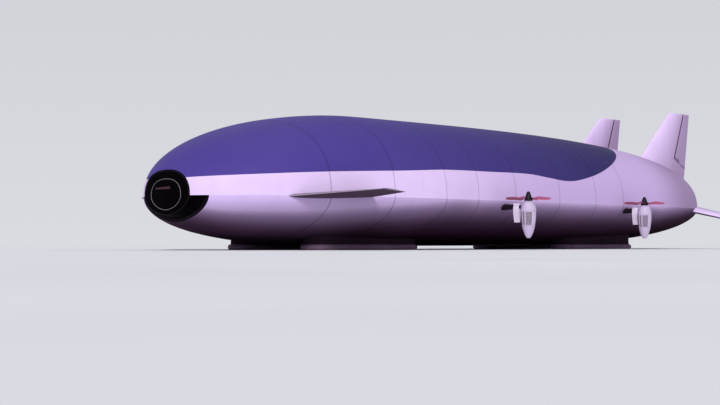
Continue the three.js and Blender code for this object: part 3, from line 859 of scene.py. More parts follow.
def disc_ring(x, proud=0.0):
    """Points round the glass disc, from the hull's own section at x, with what is ahead pressed flat."""
    squash = (NOSE_BULGE + NOSE_BEZEL) / (NOSE_TIP - NOSE_FOOT)
    ring = [hull_at(x, a, NOSE_SET) for a in full_turn(ROUND_NOSE)]
    for point in ring:
        ahead = point.x - MID_X - NOSE_FOOT
        if ahead > 0:
            point.x = MID_X + NOSE_FOOT + ahead * squash + proud
    return ring


def nose_glass():
    rings = hull_rings([(x, NOSE_SET) for x in (NOSE_CUT - SKIN, NOSE_FOOT)], full_turn(ROUND_NOSE))
    start, end = NOSE_CUT + DISC_START, NOSE_TIP - TIP_STOP
    rings += [disc_ring(mix(start, end, 1 - (1 - u) ** 2)) for u in spread(29)]
    piece("nose_disc", Shape().loft(rings), GLASS, "ship", ["nose_glazing"])
    stations = spread(8, CHIN_CUT + JOINT_GAP, NOSE_CUT - SKIN - 2 * JOINT_GAP)
    angles = spread(97, math.pi + WINDOW_STOP, math.tau - WINDOW_STOP)
    sheets = [hull_rings([(x, grow) for x in stations], angles)
              for grow in (-CHIN_RECESS, -CHIN_RECESS - SKIN)]
    piece("chin_windows", Shape().shell(*sheets), GLASS, "ship", ["chin_glazing"])


def nose_trim():
    """The pale ring on the disc, the bar across it, the bezel and the chin's window bars."""
    sections = []
    for centre in disc_ring(RING_X, RING_PROUD):
        out = (centre - Vector((centre.x, 0, CHINE_Z))).normalized()
        sections.append([centre + RING_TUBE * (math.cos(t) * out + math.sin(t) * Vector((1, 0, 0)))
                         for t in full_turn(10)])
    piece("nose_ring", Shape().loft(sections, loop=True), RING, "ship")
    outline = [in_frame(SILL_X, y, z) for y, z, _ in SILL_ENDS]
    outline += [in_frame(SILL_X, y, z + high) for y, z, high in reversed(SILL_ENDS)]
    sill = Shape().prism(outline, (SILL_THICK, 0, 0))
    piece("nose_sill_bar", sill, SILL, "ship", bevel=0.003)
    stations = [(NOSE_CUT + x, NOSE_SET + grow) for x, grow in BEZEL]
    rows = hull_rings(stations, full_turn(ROUND_NOSE))
    piece("nose_bezel", Shape().loft(rows, loop=True), BLACK, "ship")
    bars = Shape()
    for half_turns in CHIN_BARS:
        turn = math.pi * half_turns
        low, high = turn - BAR_HALF_ANGLE, turn + BAR_HALF_ANGLE
        corners = ((low, BAR_SUNK), (low, BAR_PROUD), (high, BAR_PROUD), (high, BAR_SUNK))
        bars.loft([[hull_at(x, angle, grow - CHIN_RECESS) for angle, grow in corners]
                   for x in spread(6, CHIN_CUT + BAR_END_GAP, NOSE_CUT - SKIN - BAR_END_GAP)])
    piece("chin_window_bars", bars, BLACK, "ship")


# Cargo bay

# Rim profiles from the bay's edge outwards: share of the width, height proud of the skin.
RIM_PROFILE = ((0.0, -0.006), (0.0, 0.006), (0.03, 0.009), (0.97, 0.009), (1.0, 0.006), (1.0, -0.006))
BEAD_PROFILES = {
    "inner": ((0.0, 0.004), (0.0, 0.012), (0.03, 0.0148), (0.09, 0.0148), (0.13, 0.011), (0.13, 0.004)),
    "outer": ((0.87, 0.004), (0.87, 0.011), (0.91, 0.0148), (0.97, 0.0148), (1.0, 0.012), (1.0, 0.004)),
}
# Ribs up the walls and across the ceiling, and stringers along the walls by their height.
RIB_COUNT = 13
RIB_DEPTH = 0.022
RIB_HALF = 0.015
RIB_END_GAP = 0.2
RIB_FOOT_GAP = 0.02
RIB_CLEAR_OF_HOIST = 0.2
CEILING_RIB_DEPTH = 0.03
STRINGERS = (-0.3, -0.55, -0.78)
STRINGER_DEPTH = 0.012
STRINGER_HALF = 0.01
# Air between them and the ceiling or the walls.
CEILING_GAP = 0.001
RIB_WALL_GAP = 0.0005
STRINGER_WALL_GAP = 0.0008


def rim_half(x):
    return mix(RIM_AFT_HALF, RIM_FORE_HALF, smooth((x - RIM_WAIST) / (RIM_SHOULDER - RIM_WAIST)))


def rim_pairs(steps=36, rows=60):
    """Pairs of points, on the bay's edge and on the rim's outer edge, all the way round."""
    bow, stern = -math.pi / 2, math.pi / 2
    rim_centre = RIM_FORE - RIM_FORE_HALF
    port = []
    for t in spread(rows)[1:-1]:
        x = mix(rim_centre, BAY_AFT, t)
        port.append(((mix(BAY_FORE, BAY_AFT, t), BAY_HALF), (x, rim_half(x))))
    starboard = [((xa, -ya), (xb, -yb)) for (xa, ya), (xb, yb) in reversed(port)]
    ahead = zip(arc(BAY_FORE, BAY_HALF, bow, steps), arc(rim_centre, RIM_FORE_HALF, bow, steps))
    behind = zip(arc(BAY_AFT, BAY_HALF, stern, steps), arc(BAY_AFT, RIM_AFT_HALF, stern, steps))
    return [*ahead, *port, *behind, *starboard]


def rim_loop(profile):
    """A moulding all round the bay from a profile across its rim."""
    rings = []
    for (xa, ya), (xb, yb) in rim_pairs():
        section = []
        for share, proud in profile:
            x, y = mix(xa, xb, share), mix(ya, yb, share)
            section.append(over_floor(x, y, belly_at(x, y) - proud))
        rings.append(section)
    return Shape().loft(rings, loop=True)


def bay():
    piece("bay_rim_moulding", rim_loop(RIM_PROFILE), RIM_PAINT, "ship", ["bay_rim"])
    for edge, profile in BEAD_PROFILES.items():
        piece(f"bay_rim_{edge}_bead", rim_loop(profile), BEAD, "ship")
    # The bay's walls, ends and ceiling are painted near black as shade in the hollow.
    for node in ("bay_ceiling", "bay_wall_port", "bay_wall_starboard", "bay_end_fore", "bay_end_aft"):
        paint_with(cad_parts[node], BAY_SHADE_LINING)
    ribs = Shape()
    top = BAY_CEILING - CEILING_GAP
    for x in spread(RIB_COUNT, BAY_FORE - RIB_END_GAP, BAY_AFT + RIB_END_GAP):
        foot = belly_at(x, BAY_HALF) - CHINE_Z + RIB_FOOT_GAP
        for side in (1, -1):
            wall = side * (BAY_HALF - RIB_WALL_GAP)
            ribs.box(about(x, RIB_HALF), (wall, wall - side * RIB_DEPTH), (foot, top))
        if all(abs(x - hoist_x) > RIB_CLEAR_OF_HOIST for hoist_x in HOISTS.values()):
            under = BAY_CEILING - CEILING_RIB_DEPTH
            ribs.box(about(x, RIB_HALF), about(0, BAY_HALF - RIB_DEPTH), (under, top))
    for side in (1, -1):
        wall = side * (BAY_HALF - STRINGER_WALL_GAP)
        for z in STRINGERS:
            ribs.box((BAY_AFT, BAY_FORE), (wall, wall - side * STRINGER_DEPTH), about(z, STRINGER_HALF))
    piece("bay_ribs", ribs, BAY_RIB_SHADE, "ship", bevel=0.002)


# Hoists: cross beam, cheeks of the winch, its grooved drum, and the lifting head.
BEAM_DEPTH = 0.09
BEAM_HALF = 0.06
BEAM_REACH = BAY_HALF - 0.004
BEAM_TOP_GAP = 0.0003
FLANGE = 0.014
WEB_INSET = 0.01
WEB_HALF = 0.008
STIFFENERS = 9
STIFFENER_END_GAP = 0.03
STIFFENER_REACH = 0.055
STIFFENER_HALF = 0.004
CHEEK_REACH = 0.13
CHEEK_DROP = 0.15
CHEEKS = ((-0.13, -0.112), (0.112, 0.13))
# Between the cheeks: half width, the plate under the beam, and the tie below the drum.
WINCH_HALF = 0.12
PLATE_DEPTH = 0.012
TIE_REACH = 0.03
TIE_DROP = 0.135
DRUM_AFT = 0.06
DRUM_DROP = 0.085
DRUM_RADIUS = 0.042
DRUM_HALF = 0.11
DRUM_TURNS = 15
GROOVE = 0.003
HEAD_TOP = HEAD_UNDERSIDE + 0.024
HEAD_HALF_LENGTH = 0.035
HEAD_HALF_WIDTH = 0.065
# Bar at each side of the head: distance to the side, half length, radius.
HEAD_BAR = (0.052, 0.028, 0.012)
# Radii of the mast's stages and of the collar between them, and half the collar's height.
UPPER_MAST = 0.022
LOWER_MAST = 0.015
MAST_COLLAR = 0.027
MAST_COLLAR_HALF = 0.018
# Socket on the head: height, and radius at its foot and top.
SOCKET = (0.045, 0.024, 0.016)


def hoist_beam(shape, x, top, under):
    """Adds a cross beam with flanges and stiffeners, and the cheeks, plate and tie of its winch."""
    web = under + WEB_INSET, top - WEB_INSET
    for zs in ((top - FLANGE, top), (under, under + FLANGE)):
        shape.box(about(x, BEAM_HALF), about(0, BEAM_REACH), zs)
    shape.box(about(x, WEB_HALF), about(0, BEAM_REACH), web)
    for y in spread(STIFFENERS, STIFFENER_END_GAP - BEAM_REACH, BEAM_REACH - STIFFENER_END_GAP):
        shape.box(about(x, STIFFENER_REACH), about(y, STIFFENER_HALF), web)
    for ys in CHEEKS:
        shape.box(about(x, CHEEK_REACH), ys, (under - CHEEK_DROP, under))
    shape.box(about(x, CHEEK_REACH), about(0, WINCH_HALF), (under - PLATE_DEPTH, under))
    shape.box(about(x, TIE_REACH), about(0, WINCH_HALF), (under - CHEEK_DROP, under - TIE_DROP))


def hoist(end, x):
    """Cross beam, winch drum between cheeks, a two-stage mast and a lifting head with two bars."""
    top = BAY_CEILING - BEAM_TOP_GAP
    under = top - BEAM_DEPTH
    shape = Shape()
    hoist_beam(shape, x, top, under)
    outline = []
    for share in spread(DRUM_TURNS * 8 + 1):
        radius = DRUM_RADIUS + GROOVE * abs(math.sin(math.pi * share * DRUM_TURNS))
        outline.append((radius, mix(-DRUM_HALF, DRUM_HALF, share)))
    drum = Shape().lathe(Vector(), outline, 36)
    drum_z = under - DRUM_DROP
    shape.add([in_frame(x - DRUM_AFT + p.x, p.z, drum_z + p.y) for p in drum.points], drum.faces)
    stage = mix(under, HEAD_TOP, 0.5)
    socket_height, socket_foot, socket_top = SOCKET
    mast = (
        (stage, under, UPPER_MAST, UPPER_MAST), (*about(stage, MAST_COLLAR_HALF), MAST_COLLAR, MAST_COLLAR),
        (HEAD_TOP, stage, LOWER_MAST, LOWER_MAST),
        (HEAD_TOP, HEAD_TOP + socket_height, socket_foot, socket_top),
    )
    for low, high, radius, end_radius in mast:
        shape.rod(in_frame(x, 0, low), in_frame(x, 0, high), radius, end_radius)
    piece(f"hoist_{end}_machine", shape, STEEL, "ship", [f"hoist_{end}"], bevel=0.0012)
    head = Shape().box(about(x, HEAD_HALF_LENGTH), about(0, HEAD_HALF_WIDTH), (HEAD_UNDERSIDE, HEAD_TOP))
    to_side, half, radius = HEAD_BAR
    for y in (-to_side, to_side):
        head.rod(*(in_frame(bar_x, y, HEAD_TOP + radius) for bar_x in about(x, half)), radius)
    piece(f"hoist_{end}_head", head, HEAD, "ship", bevel=0.004)


# Landing cushions

TUBE_SIDES = 36
TRACK_STEP = 0.02
PANEL_LENGTH = 0.6
# As shares of the tube's radius: height of its middle, how far its section flattens, the height below
# which it spreads on the floor and by how much.
SOLE_CUT = 0.94
FLATTEN = 0.015
SPREAD_BELOW = 0.35
SPREAD_BY = 0.05
# The radius loses this at a cross seam and gains this between two. The pinch's half is a share of a panel.
PINCH = 0.012
PINCH_HALF = 0.02
SWELL = 0.006
# Tape over a cross seam: share of the radius, arc round the tube, and section as distance along and lift.
TAPE_RADIUS = 0.972
TAPE_ARC = (math.radians(50), math.radians(310))
TAPE_SECTION = (
    (-0.008, -0.004), (-0.008, 0.0002), (-0.005, 0.0012), (0.005, 0.0012), (0.008, 0.0002), (0.008, -0.004),
)
TAPE_FOOT = 0.0008
# Skirt: length and depth of a fold, half thickness, how hollow it hangs, and how deep it goes into the hull.
FOLD_LENGTH = 0.075
FOLD_DEPTH = 0.0055
SKIRT_HALF = 0.003
SKIRT_HOLLOW = 0.012
SKIRT_SUNK = 0.004
GATHER_START = 0.15
# Sheet of painted shade inside the ring: its limits below and above the belly, and how far out it reaches.
SHADE_LINER_LIMITS = (-0.004, 0.003)
SHADE_LINER_REACH = 0.985


class Cushion:
    """A landing cushion to port: a tube along a racetrack, and the cloth sewn to it."""

    def __init__(self, fore, aft, middle, gauge, tube):
        self.fore = fore - tube - gauge
        self.aft = aft + tube + gauge
        self.middle = middle
        self.gauge = gauge
        self.tube = tube
        self.centre = tube * SOLE_CUT
        self.length = 2 * (self.fore - self.aft) + math.tau * gauge
        self.panels = round(self.length / PANEL_LENGTH)
        count = round(self.length / TRACK_STEP)
        self.track = [self.station(k * self.length / count) for k in range(count)]

    def station(self, s):
        """At a distance along the middle line: X, Y, the way out as X and Y, and the distance."""
        way = 1 if s < self.length / 2 else -1
        gone = s % (self.length / 2)
        straight = self.fore - self.aft
        if gone < math.pi * self.gauge:
            nx, ny = math.sin(gone / self.gauge), -math.cos(gone / self.gauge)
            x = straight / 2 + self.gauge * nx
        else:
            nx, ny = 0, 1
            x = straight / 2 - (gone - math.pi * self.gauge)
        return (self.fore + self.aft) / 2 + way * x, way * self.gauge * ny, way * nx, way * ny, s

    def beside(self, station, out, along=0.0):
        """Hull X and Y beside the middle line, so far out from it and along it."""
        x, y, nx, ny, _ = station
        return x + nx * out - ny * along, self.middle + y + ny * out + nx * along

    def spine(self, x):
        """The nearest X on the line between the centres of the two round ends."""
        return min(max(x, self.aft), self.fore)

    def section_radius(self, turn):
        return self.tube * (1 - FLATTEN + FLATTEN * math.cos(2 * turn))

    def tube_shape(self):
        rings = []
        for station in self.track:
            phase = station[-1] * self.panels / self.length % 1
            pinch = math.exp(-(min(phase, 1 - phase) / PINCH_HALF) ** 2)
            swell = 1 - PINCH * pinch + SWELL * math.sin(math.pi * phase)
            section = []
            for k in range(TUBE_SIDES):
                turn = math.tau * (k + 0.5) / TUBE_SIDES
                radius = swell * self.section_radius(turn)
                z = self.centre - radius * math.cos(turn)
                sag = smooth(1 - z / (SPREAD_BELOW * self.tube))
                x, y = self.beside(station, radius * math.sin(turn) * (1 + SPREAD_BY * sag))
                section.append(over_floor(x, y, max(0.0, z)))
            rings.append(section)
        return Shape().loft(rings, loop=True)

    def tapes(self):
        """Narrow tapes over the tube's cross seams."""
        shape = Shape()
        count = len(self.track)
        for k in range(self.panels):
            station = self.track[round(k * count / self.panels) % count]
            rings = []
            for turn in spread(TUBE_SIDES + 1, *TAPE_ARC):
                section = []
                for along, lift in TAPE_SECTION:
                    radius = TAPE_RADIUS * self.section_radius(turn) + lift
                    x, y = self.beside(station, radius * math.sin(turn), along)
                    section.append(over_floor(x, y, max(TAPE_FOOT, self.centre - radius * math.cos(turn))))
                rings.append(section)
            shape.loft(rings)
        return shape

    def skirt(self):
        """The gathered cloth between tube and hull, in even folds, sewn to both along its edges."""
        folds = round(self.length / FOLD_LENGTH)
        sheets = []
        for half in (SKIRT_HALF, -SKIRT_HALF):
            sheet = []
            for t in spread(9):
                gather = FOLD_DEPTH * math.sin(math.pi * min(1, GATHER_START + t)) ** 2
                set_out = half - SKIRT_HOLLOW * math.sin(math.pi * t)
                row = []
                for station in self.track:
                    wave = math.sin(math.tau * folds * station[-1] / self.length)
                    x, y = self.beside(station, set_out + gather * wave)
                    row.append(over_floor(x, y, mix(self.centre, belly_at(x, y, -SKIRT_SUNK), t)))
                sheet.append(row)
            sheets.append(sheet)
        return Shape().shell(*sheets, wrap=True)

    def shade_liner(self):
        """A dark sheet under the hull inside the ring, as painted shade in its hollow."""
        sheets = []
        for rise in SHADE_LINER_LIMITS:
            rows = []
            for end_x, end_y, *_ in self.track:
                row = []
                for t in spread(7, 0, SHADE_LINER_REACH):
                    x, y = mix(self.spine(end_x), end_x, t), self.middle + end_y * t
                    row.append(over_floor(x, y, belly_at(x, y) + rise))
                rows.append(row)
            sheets.append(rows + [rows[0]])
        return Shape().shell(*sheets)

    def inner_shade_at(self, vertex):
        """How far round to the ring's inner side a point lies, from 0 to 1, for the cloth's painted shade.
        """
        x, y = vertex.co.x - MID_X, abs(vertex.co.y) - self.middle
        return 0.5 - (math.hypot(x - self.spine(x), y) - self.gauge) / (2 * self.tube)


def cushions(end):
    shape = Cushion(*CUSHIONS[end])
    tube, tapes, skirt, shade_liner = shape.tube_shape(), shape.tapes(), shape.skirt(), shape.shade_liner()
    for side, turn in SIDES.items():
        name = f"cushion_{end}_{side}"
        tube_piece = piece(f"{name}_tube", turn(tube), FABRIC_AND_SHADE, "ship", [name])
        # The tube and tapes carry their inner side for the cloth's painted shade.
        for obj in (tube_piece, piece(f"{name}_tapes", turn(tapes), FABRIC_AND_SHADE, "ship")):
            carry(obj, "inner", shape.inner_shade_at)
        piece(f"{name}_skirt", turn(skirt), SKIRT_SHADE, "ship")
        piece(f"{name}_liner", turn(shade_liner), SHADE_LINER, "ship")


# Wings

CHORD_SHARES = [(1 - math.cos(math.pi * k / 44)) / 2 for k in range(45)]
# Thickness coefficients of a wing section, for the root of the chord share and for its powers, and the
# least thickness towards the trailing edge.
SECTION_ROOT = 1.4845
SECTION_POWERS = (-0.63, -1.758, 1.4215, -0.5075)
TRAILING_EDGE = 0.012
# Rounded tip: the flattest share of its section, and the share of the chord that each edge draws in.
TIP_FLATTEST = 0.04
TIP_PULL = 0.012
# Bar in the moving part's nose, as a share of the half thickness there, and the radius of its pins.
BAR_FIT = 0.985
PIN_RADIUS = 0.009
# How deep the pins go into the wing at its root, into the bar, and into the wing at its tip.
PIN_IN_ROOT = 0.04
PIN_IN_BAR = 0.004
PIN_IN_TIP = 0.02
# Seal strips: lift along their section, how deep they are sunk, and their limits behind the hinge line.
SEAL_LIFTS = (0.0002, 0.001, 0.001, 0.0002)
SEAL_SUNK = 0.002
SEAL_STOP = 0.985
FIXED_SEAL = (0.013, 0.0005)
MOVING_SEAL = (0.001, 0.020)
# Strip round the edge of a wing: share of the chord that it covers, how proud it is and how deep.
STRIP_SHARE = 0.008
STRIP_PROUD = 0.0012
STRIP_SUNK = 0.003
STRIP_TIP_SUNK = 0.008
# Middle of its bend as a share of the chord. At the tip: its limits as shares of the chord, its half
# height as a share of the section's, how much of that is left at its outer face, and the least of it.
STRIP_MIDDLE = 0.02
STRIP_TIP_LIMITS = (0.02, 0.98)
STRIP_TIP_SHARE = 0.55
STRIP_OUTER = 0.6
STRIP_TIP_LEAST = 0.0025


def half_thickness(share):
    """Half the thickness of a wing section at a share of its chord, for a thickness and chord of one."""
    share = min(share, 1)
    curve = SECTION_ROOT * math.sqrt(share)
    curve += sum(factor * share ** (k + 1) for k, factor in enumerate(SECTION_POWERS))
    return max(curve, TRAILING_EDGE * share)


def skin_points(lead, trail, rise, shares):
    """Points of one face of a wing at shares of its chord. Rise points out of that face."""
    chord = trail - lead
    return [lead + chord * s + rise * (chord.length * half_thickness(s)) for s in shares]


def wing_section(lead, trail, rise):
    bottom = skin_points(lead, trail, -rise, reversed(CHORD_SHARES[1:]))
    return skin_points(lead, trail, rise, CHORD_SHARES) + bottom


class Wing:
    """A wing to port, its hinge line, and the shapes along both."""

    def __init__(self, sizes):
        self.root = [in_frame(*point) for point in sizes["root"]]
        self.tip = [in_frame(*point) for point in sizes["tip"]]
        self.up = Vector(sizes["up"]).normalized()
        self.rise = self.up * sizes["thickness"]
        self.out = self.tip[0] - self.root[0]
        self.hinge = sizes["hinge"]
        self.limits = sizes["from"], sizes["to"]
        hinge_root = self.root[0].lerp(self.root[1], self.hinge)
        hinge_out = self.tip[0].lerp(self.tip[1], self.hinge) - hinge_root
        self.start, end = (hinge_root + hinge_out * share for share in self.limits)
        self.span = (end - self.start).length
        self.along = (end - self.start).normalized()
        self.back = self.along.cross(self.up).normalized()
        if self.back.x > 0:
            self.back.negate()
        self.across = self.along.cross(self.back).normalized()
        self.past_tip = self.limits[1] > 1
        self.stop = self.span if self.past_tip else self.span - CLEAR

    def edges(self, t):
        """Leading and trailing edge at a share of the span."""
        return [root.lerp(tip, t) for root, tip in zip(self.root, self.tip)]

    def whole(self):
        """The wing in one piece, its tip edge rounded over."""
        tip_chord = (self.tip[1] - self.tip[0]).length
        round_over = tip_chord * self.rise.length * 0.5 / self.out.length
        rings = [wing_section(*self.edges(t), self.rise) for t in spread(13, 0, 1 - round_over)]
        for turn in spread(7, 0, math.pi / 2)[1:]:
            lead, trail = self.edges(1 - round_over + round_over * math.sin(turn))
            pull = TIP_PULL * (1 - math.cos(turn))
            flat = max(TIP_FLATTEST, math.cos(turn))
            rings.append(wing_section(lead.lerp(trail, pull), trail.lerp(lead, pull), self.rise * flat))
        return Shape().loft(rings)

    def point(self, distance):
        return self.start + self.along * distance

    def radius_at(self, t):
        """Radius of the bar in the moving part's nose at a share of the span."""
        lead, trail = self.edges(t)
        return (trail - lead).length * self.rise.length * half_thickness(self.hinge) * BAR_FIT

    def gap(self, t):
        """How far ahead of the hinge line the fixed skin ends, along the chord."""
        lead, trail = self.edges(t)
        radius = self.radius_at(t)
        wide = math.sqrt((radius + CLEAR) ** 2 - (radius / BAR_FIT) ** 2)
        return wide / (trail - lead).normalized().dot(self.back)

    def slab(self, low, high, reach=4.0):
        """All that lies behind the hinge line between two distances along it."""
        corners = ((0, -reach / 2), (reach, -reach / 2), (reach, reach / 2), (0, reach / 2))
        outline = [self.point(low) + self.back * b + self.across * a for b, a in corners]
        return Shape().prism(outline, self.along * (high - low))

    def bar(self, low, high, grow):
        radii = [self.radius_at(mix(*self.limits, distance / self.span)) + grow for distance in (low, high)]
        return Shape().rod(self.point(low), self.point(high), *radii, 48)

    def pins(self):
        shape = Shape()
        limits = [(-PIN_IN_ROOT, CLEAR + PIN_IN_BAR)]
        if not self.past_tip:
            limits.append((self.stop - PIN_IN_BAR, self.span + PIN_IN_TIP))
        for low, high in limits:
            shape.rod(self.point(low), self.point(high), PIN_RADIUS, sides=24)
        return shape

    def seal(self, limits_at, inset):
        """Dark strips on both faces beside the hinge, between two distances behind its line."""
        shape = Shape()
        inset /= self.out.length
        for rise in (self.rise, -self.rise):
            face_up = rise.normalized()
            rows_out, rows_in = [], []
            for t in spread(24, self.limits[0] + inset, min(self.limits[1], SEAL_STOP) - inset):
                lead, trail = self.edges(t)
                size = (trail - lead).length
                shares = [self.hinge + d / size for d in spread(4, *limits_at(t))]
                base = skin_points(lead, trail, rise, shares)
                rows_out.append([p + face_up * lift for p, lift in zip(base, SEAL_LIFTS)])
                rows_in.append([p - face_up * SEAL_SUNK for p in base])
            shape.shell(rows_out, rows_in)
        return shape

    def lit_edge_shape(self):
        """A thin strip wrapped over the leading edge and carried round the tip, pale as painted light on
        that edge.
        """
        rows_out, rows_in = [], []
        shares = [STRIP_SHARE * (k / 6) ** 2 for k in range(7)]
        for t in spread(40, 0, SEAL_STOP):
            lead, trail = self.edges(t)
            ring = skin_points(lead, trail, self.rise, reversed(shares))
            ring += skin_points(lead, trail, -self.rise, shares[1:])
            middle = lead.lerp(trail, STRIP_MIDDLE)
            rows_out.append([p + (p - middle).normalized() * STRIP_PROUD for p in ring])
            rows_in.append([p - (p - middle).normalized() * STRIP_SUNK for p in ring])
        shape = Shape().shell(rows_out, rows_in)
        lead, trail = self.tip
        size = (trail - lead).length * self.rise.length
        out = self.out.normalized()
        rows = []
        for s in spread(24, *STRIP_TIP_LIMITS):
            deep, proud = (lead.lerp(trail, s) + out * by for by in (-STRIP_TIP_SUNK, STRIP_PROUD))
            rise = self.up * max(STRIP_TIP_LEAST, STRIP_TIP_SHARE * size * half_thickness(s))
            outer = rise * STRIP_OUTER
            rows.append([deep - rise, proud - outer, proud + outer, deep + rise])
        return shape.loft(rows)

    def chord_at(self, vertex):
        """How far back between the leading and trailing edge a point lies."""
        point = Vector((vertex.co.x, abs(vertex.co.y), vertex.co.z))
        t = max(0, (point - self.root[0]).dot(self.out) / self.out.length_squared)
        for _ in range(3):
            front, back = self.edges(t)
            share = (point - front).dot(back - front) / (back - front).length_squared
            t += (point - front.lerp(back, share)).dot(self.out) / self.out.length_squared
        return share


def underside_shade_at(vertex):
    """How far a point faces down, from 0 to 1, for the painted shade under a wing."""
    return smooth(-vertex.normal.z / DOWN_FACING)


def wing_pair(sizes, fixed_name, moving_name, material, seal, strips=False):
    """A fixed wing and its moving part, with nose bar, pins and seals, to port and to starboard."""
    wing = Wing(sizes)
    whole = wing.whole()
    fixed = carved_shape(whole, [wing.slab(0, wing.span)], [wing.bar(0, wing.span, CLEAR)])
    moving = carved_shape(whole, [wing.slab(CLEAR, wing.stop), "INTERSECT"])
    nose_bar = carved_shape(wing.bar(CLEAR, wing.stop, 0), [whole, "INTERSECT"])
    fixed_seal = wing.seal(lambda t: [-wing.gap(t) - d for d in FIXED_SEAL], 0)
    moving_seal = wing.seal(lambda t: MOVING_SEAL, 2 * CLEAR)
    pins = wing.pins()
    for side, turn in SIDES.items():
        fixed_node, moving_node = f"{fixed_name}_{side}", f"{moving_name}_{side}"
        body = moving_node.replace("canard_", "")
        skins = (piece(f"{fixed_node}_skin", turn(fixed), material, "ship", [fixed_node]),
                 piece(f"{moving_node}_skin", turn(moving), material, body, [moving_node]))
        # What the skins carry sets the painted shade of the tail surfaces.
        for skin in skins:
            carry(skin, "chord", wing.chord_at)
            carry(skin, "under", underside_shade_at)
        piece(f"{moving_node}_nose", turn(nose_bar), seal, body)
        piece(f"{moving_node}_pins", turn(pins), STEEL, body)
        piece(f"{fixed_node}_seal", turn(fixed_seal), seal, "ship")
        piece(f"{moving_node}_seal", turn(moving_seal), seal, body)
        # Canards get a pale strip as painted light on their leading edge.
        if strips:
            piece(f"{fixed_node}_edge", turn(wing.lit_edge_shape()), LIT_EDGE, "ship")


# Engines

NACELLE_TURNS = full_turn(64)
NACELLE_FOOT = NACELLE[-1][0]
# Recessed panels round the nacelle: the way each faces from forward, and its half angle.
NACELLE_PANELS = (
    (0, 0.17), (math.radians(43), 0.42), (math.radians(137), 0.42),
    (math.pi, 0.17), (math.radians(223), 0.42), (math.radians(317), 0.42),
)
PANEL_TOP = 0.228
PANEL_FOOT = 0.497
PANEL_DEPTH = 0.009
# How far a recess is cut out past the cowl. Panel: share of the recess's half angle, how far it stops
# short of the recess's top and foot, and its limits from the recess's floor.
RECESS_OUT = 0.03
PANEL_FIT = 0.99
PANEL_INSET = 0.001
PANEL_LIMITS = (-0.001, 0.002)
RIB_STEP = 0.06
PANEL_RIB_HALF = 0.007
PANEL_RIB_INSET = 0.004
PANEL_RIB_PROUD = 0.005
BAND_DOWNS = (0.205, 0.52)
BAND_SECTION = ((-0.003, -0.004), (-0.003, 0.0008), (0.003, 0.0008), (0.003, -0.004))
COLLAR = 0.014
# Mount on the hull: distance out from the hull's side, half height, half length. Its end stops short of
# the stub wing and is rounded over.
MOUNT = ((-0.12, 0.067, 0.110), (0.02, 0.062, 0.095))
MOUNT_END = ((-0.012, 0.0525, 0.068), (-0.003, 0.050, 0.0645), (0, 0.045, 0.058))
MOUNT_END_GAP = 0.008
# Half height and half length halfway between those, and the room round the shaft in the bore.
MOUNT_MIDDLE = (0.057, 0.081)
BORE_CLEAR = 0.001
# Shaft: start from the hull's side, end inside the cowl, how much thinner it is than its full
# radius, and how proud its collars are.
SHAFT_START = 0.025
SHAFT_SUNK = 0.01
SHAFT_FIT = 0.0004
COLLAR_PROUD = 0.010
# Stub wing section: share of the half thickness, share of the height from the top.
STUB_OUTLINE = (
    (0.0, 0.0), (0.35, 0.006), (0.62, 0.05), (0.85, 0.14), (1.0, 0.3), (0.93, 0.45), (0.75, 0.6),
    (0.52, 0.76), (0.28, 0.9), (0.06, 1.0),
)
STUB_HIGH = 0.075
STUB_LOW = -0.325
STUB_HALF = 0.04
STUB_SPAN = 0.076
# Blade: share of the radius, half chord, half thickness, pitch in radians.
BLADE = (
    (0.10, 0.013, 0.009, 0.95), (0.34, 0.017, 0.007, 0.85), (0.60, 0.049, 0.005, 0.72),
    (0.86, 0.048, 0.0035, 0.62), (0.96, 0.036, 0.0025, 0.59), (1.0, 0.020, 0.0018, 0.58),
)
# How much fuller a blade's section is towards its leading edge.
BLADE_FULLER = 0.35
# Shank of a blade: its limits out from the middle, and the radius at each.
SHANK = (0.066, 0.090, 0.019, 0.014)
PROP_SHAFT_RADIUS = 0.0236
PROP_SHAFT_DEPTH = 0.058
PROP_SHAFT_RISE = 0.005
# Spinner outline: share of the hub's radius, share of the spinner's height.
SPINNER = (
    (0.001, 0), (0.97, 0), (1, 0.02), (1, 0.07), (0.97, 0.13), (0.87, 0.28), (0.76, 0.45), (0.64, 0.62),
    (0.5, 0.79), (0.36, 0.92), (0.2, 0.98), (0.001, 1.0),
)
# From the nacelle's top: the spinner's foot, and the blades' height over that.
SPINNER_RISE = 0.008
BLADE_RISE = 0.048
# The first blade's turn from forward, as a share of the angle between blades.
FIRST_BLADE = 0.25


def nacelle_size(down):
    """Half width and half depth of the nacelle at a distance below its top."""
    return [spline([(-row[0], row[k]) for row in NACELLE], -down) for k in (1, 2)]


def nacelle_ring(x, side, down, angles, grow=0.0):
    across, along = (half + grow for half in nacelle_size(down))
    return [in_frame(x + along * math.cos(a), side + across * math.sin(a), NACELLE_TOP - down)
            for a in angles]


def nacelle_block(x, side, facing, half_angle, inset, inside, outside):
    """Sheets of a curved block over part of the nacelle, as high as a panel but for an inset."""
    turns = spread(19, facing - half_angle, facing + half_angle)
    downs = spread(15, PANEL_TOP + inset, PANEL_FOOT - inset)
    return [[nacelle_ring(x, side, down, turns, grow) for down in downs] for grow in (outside, inside)]


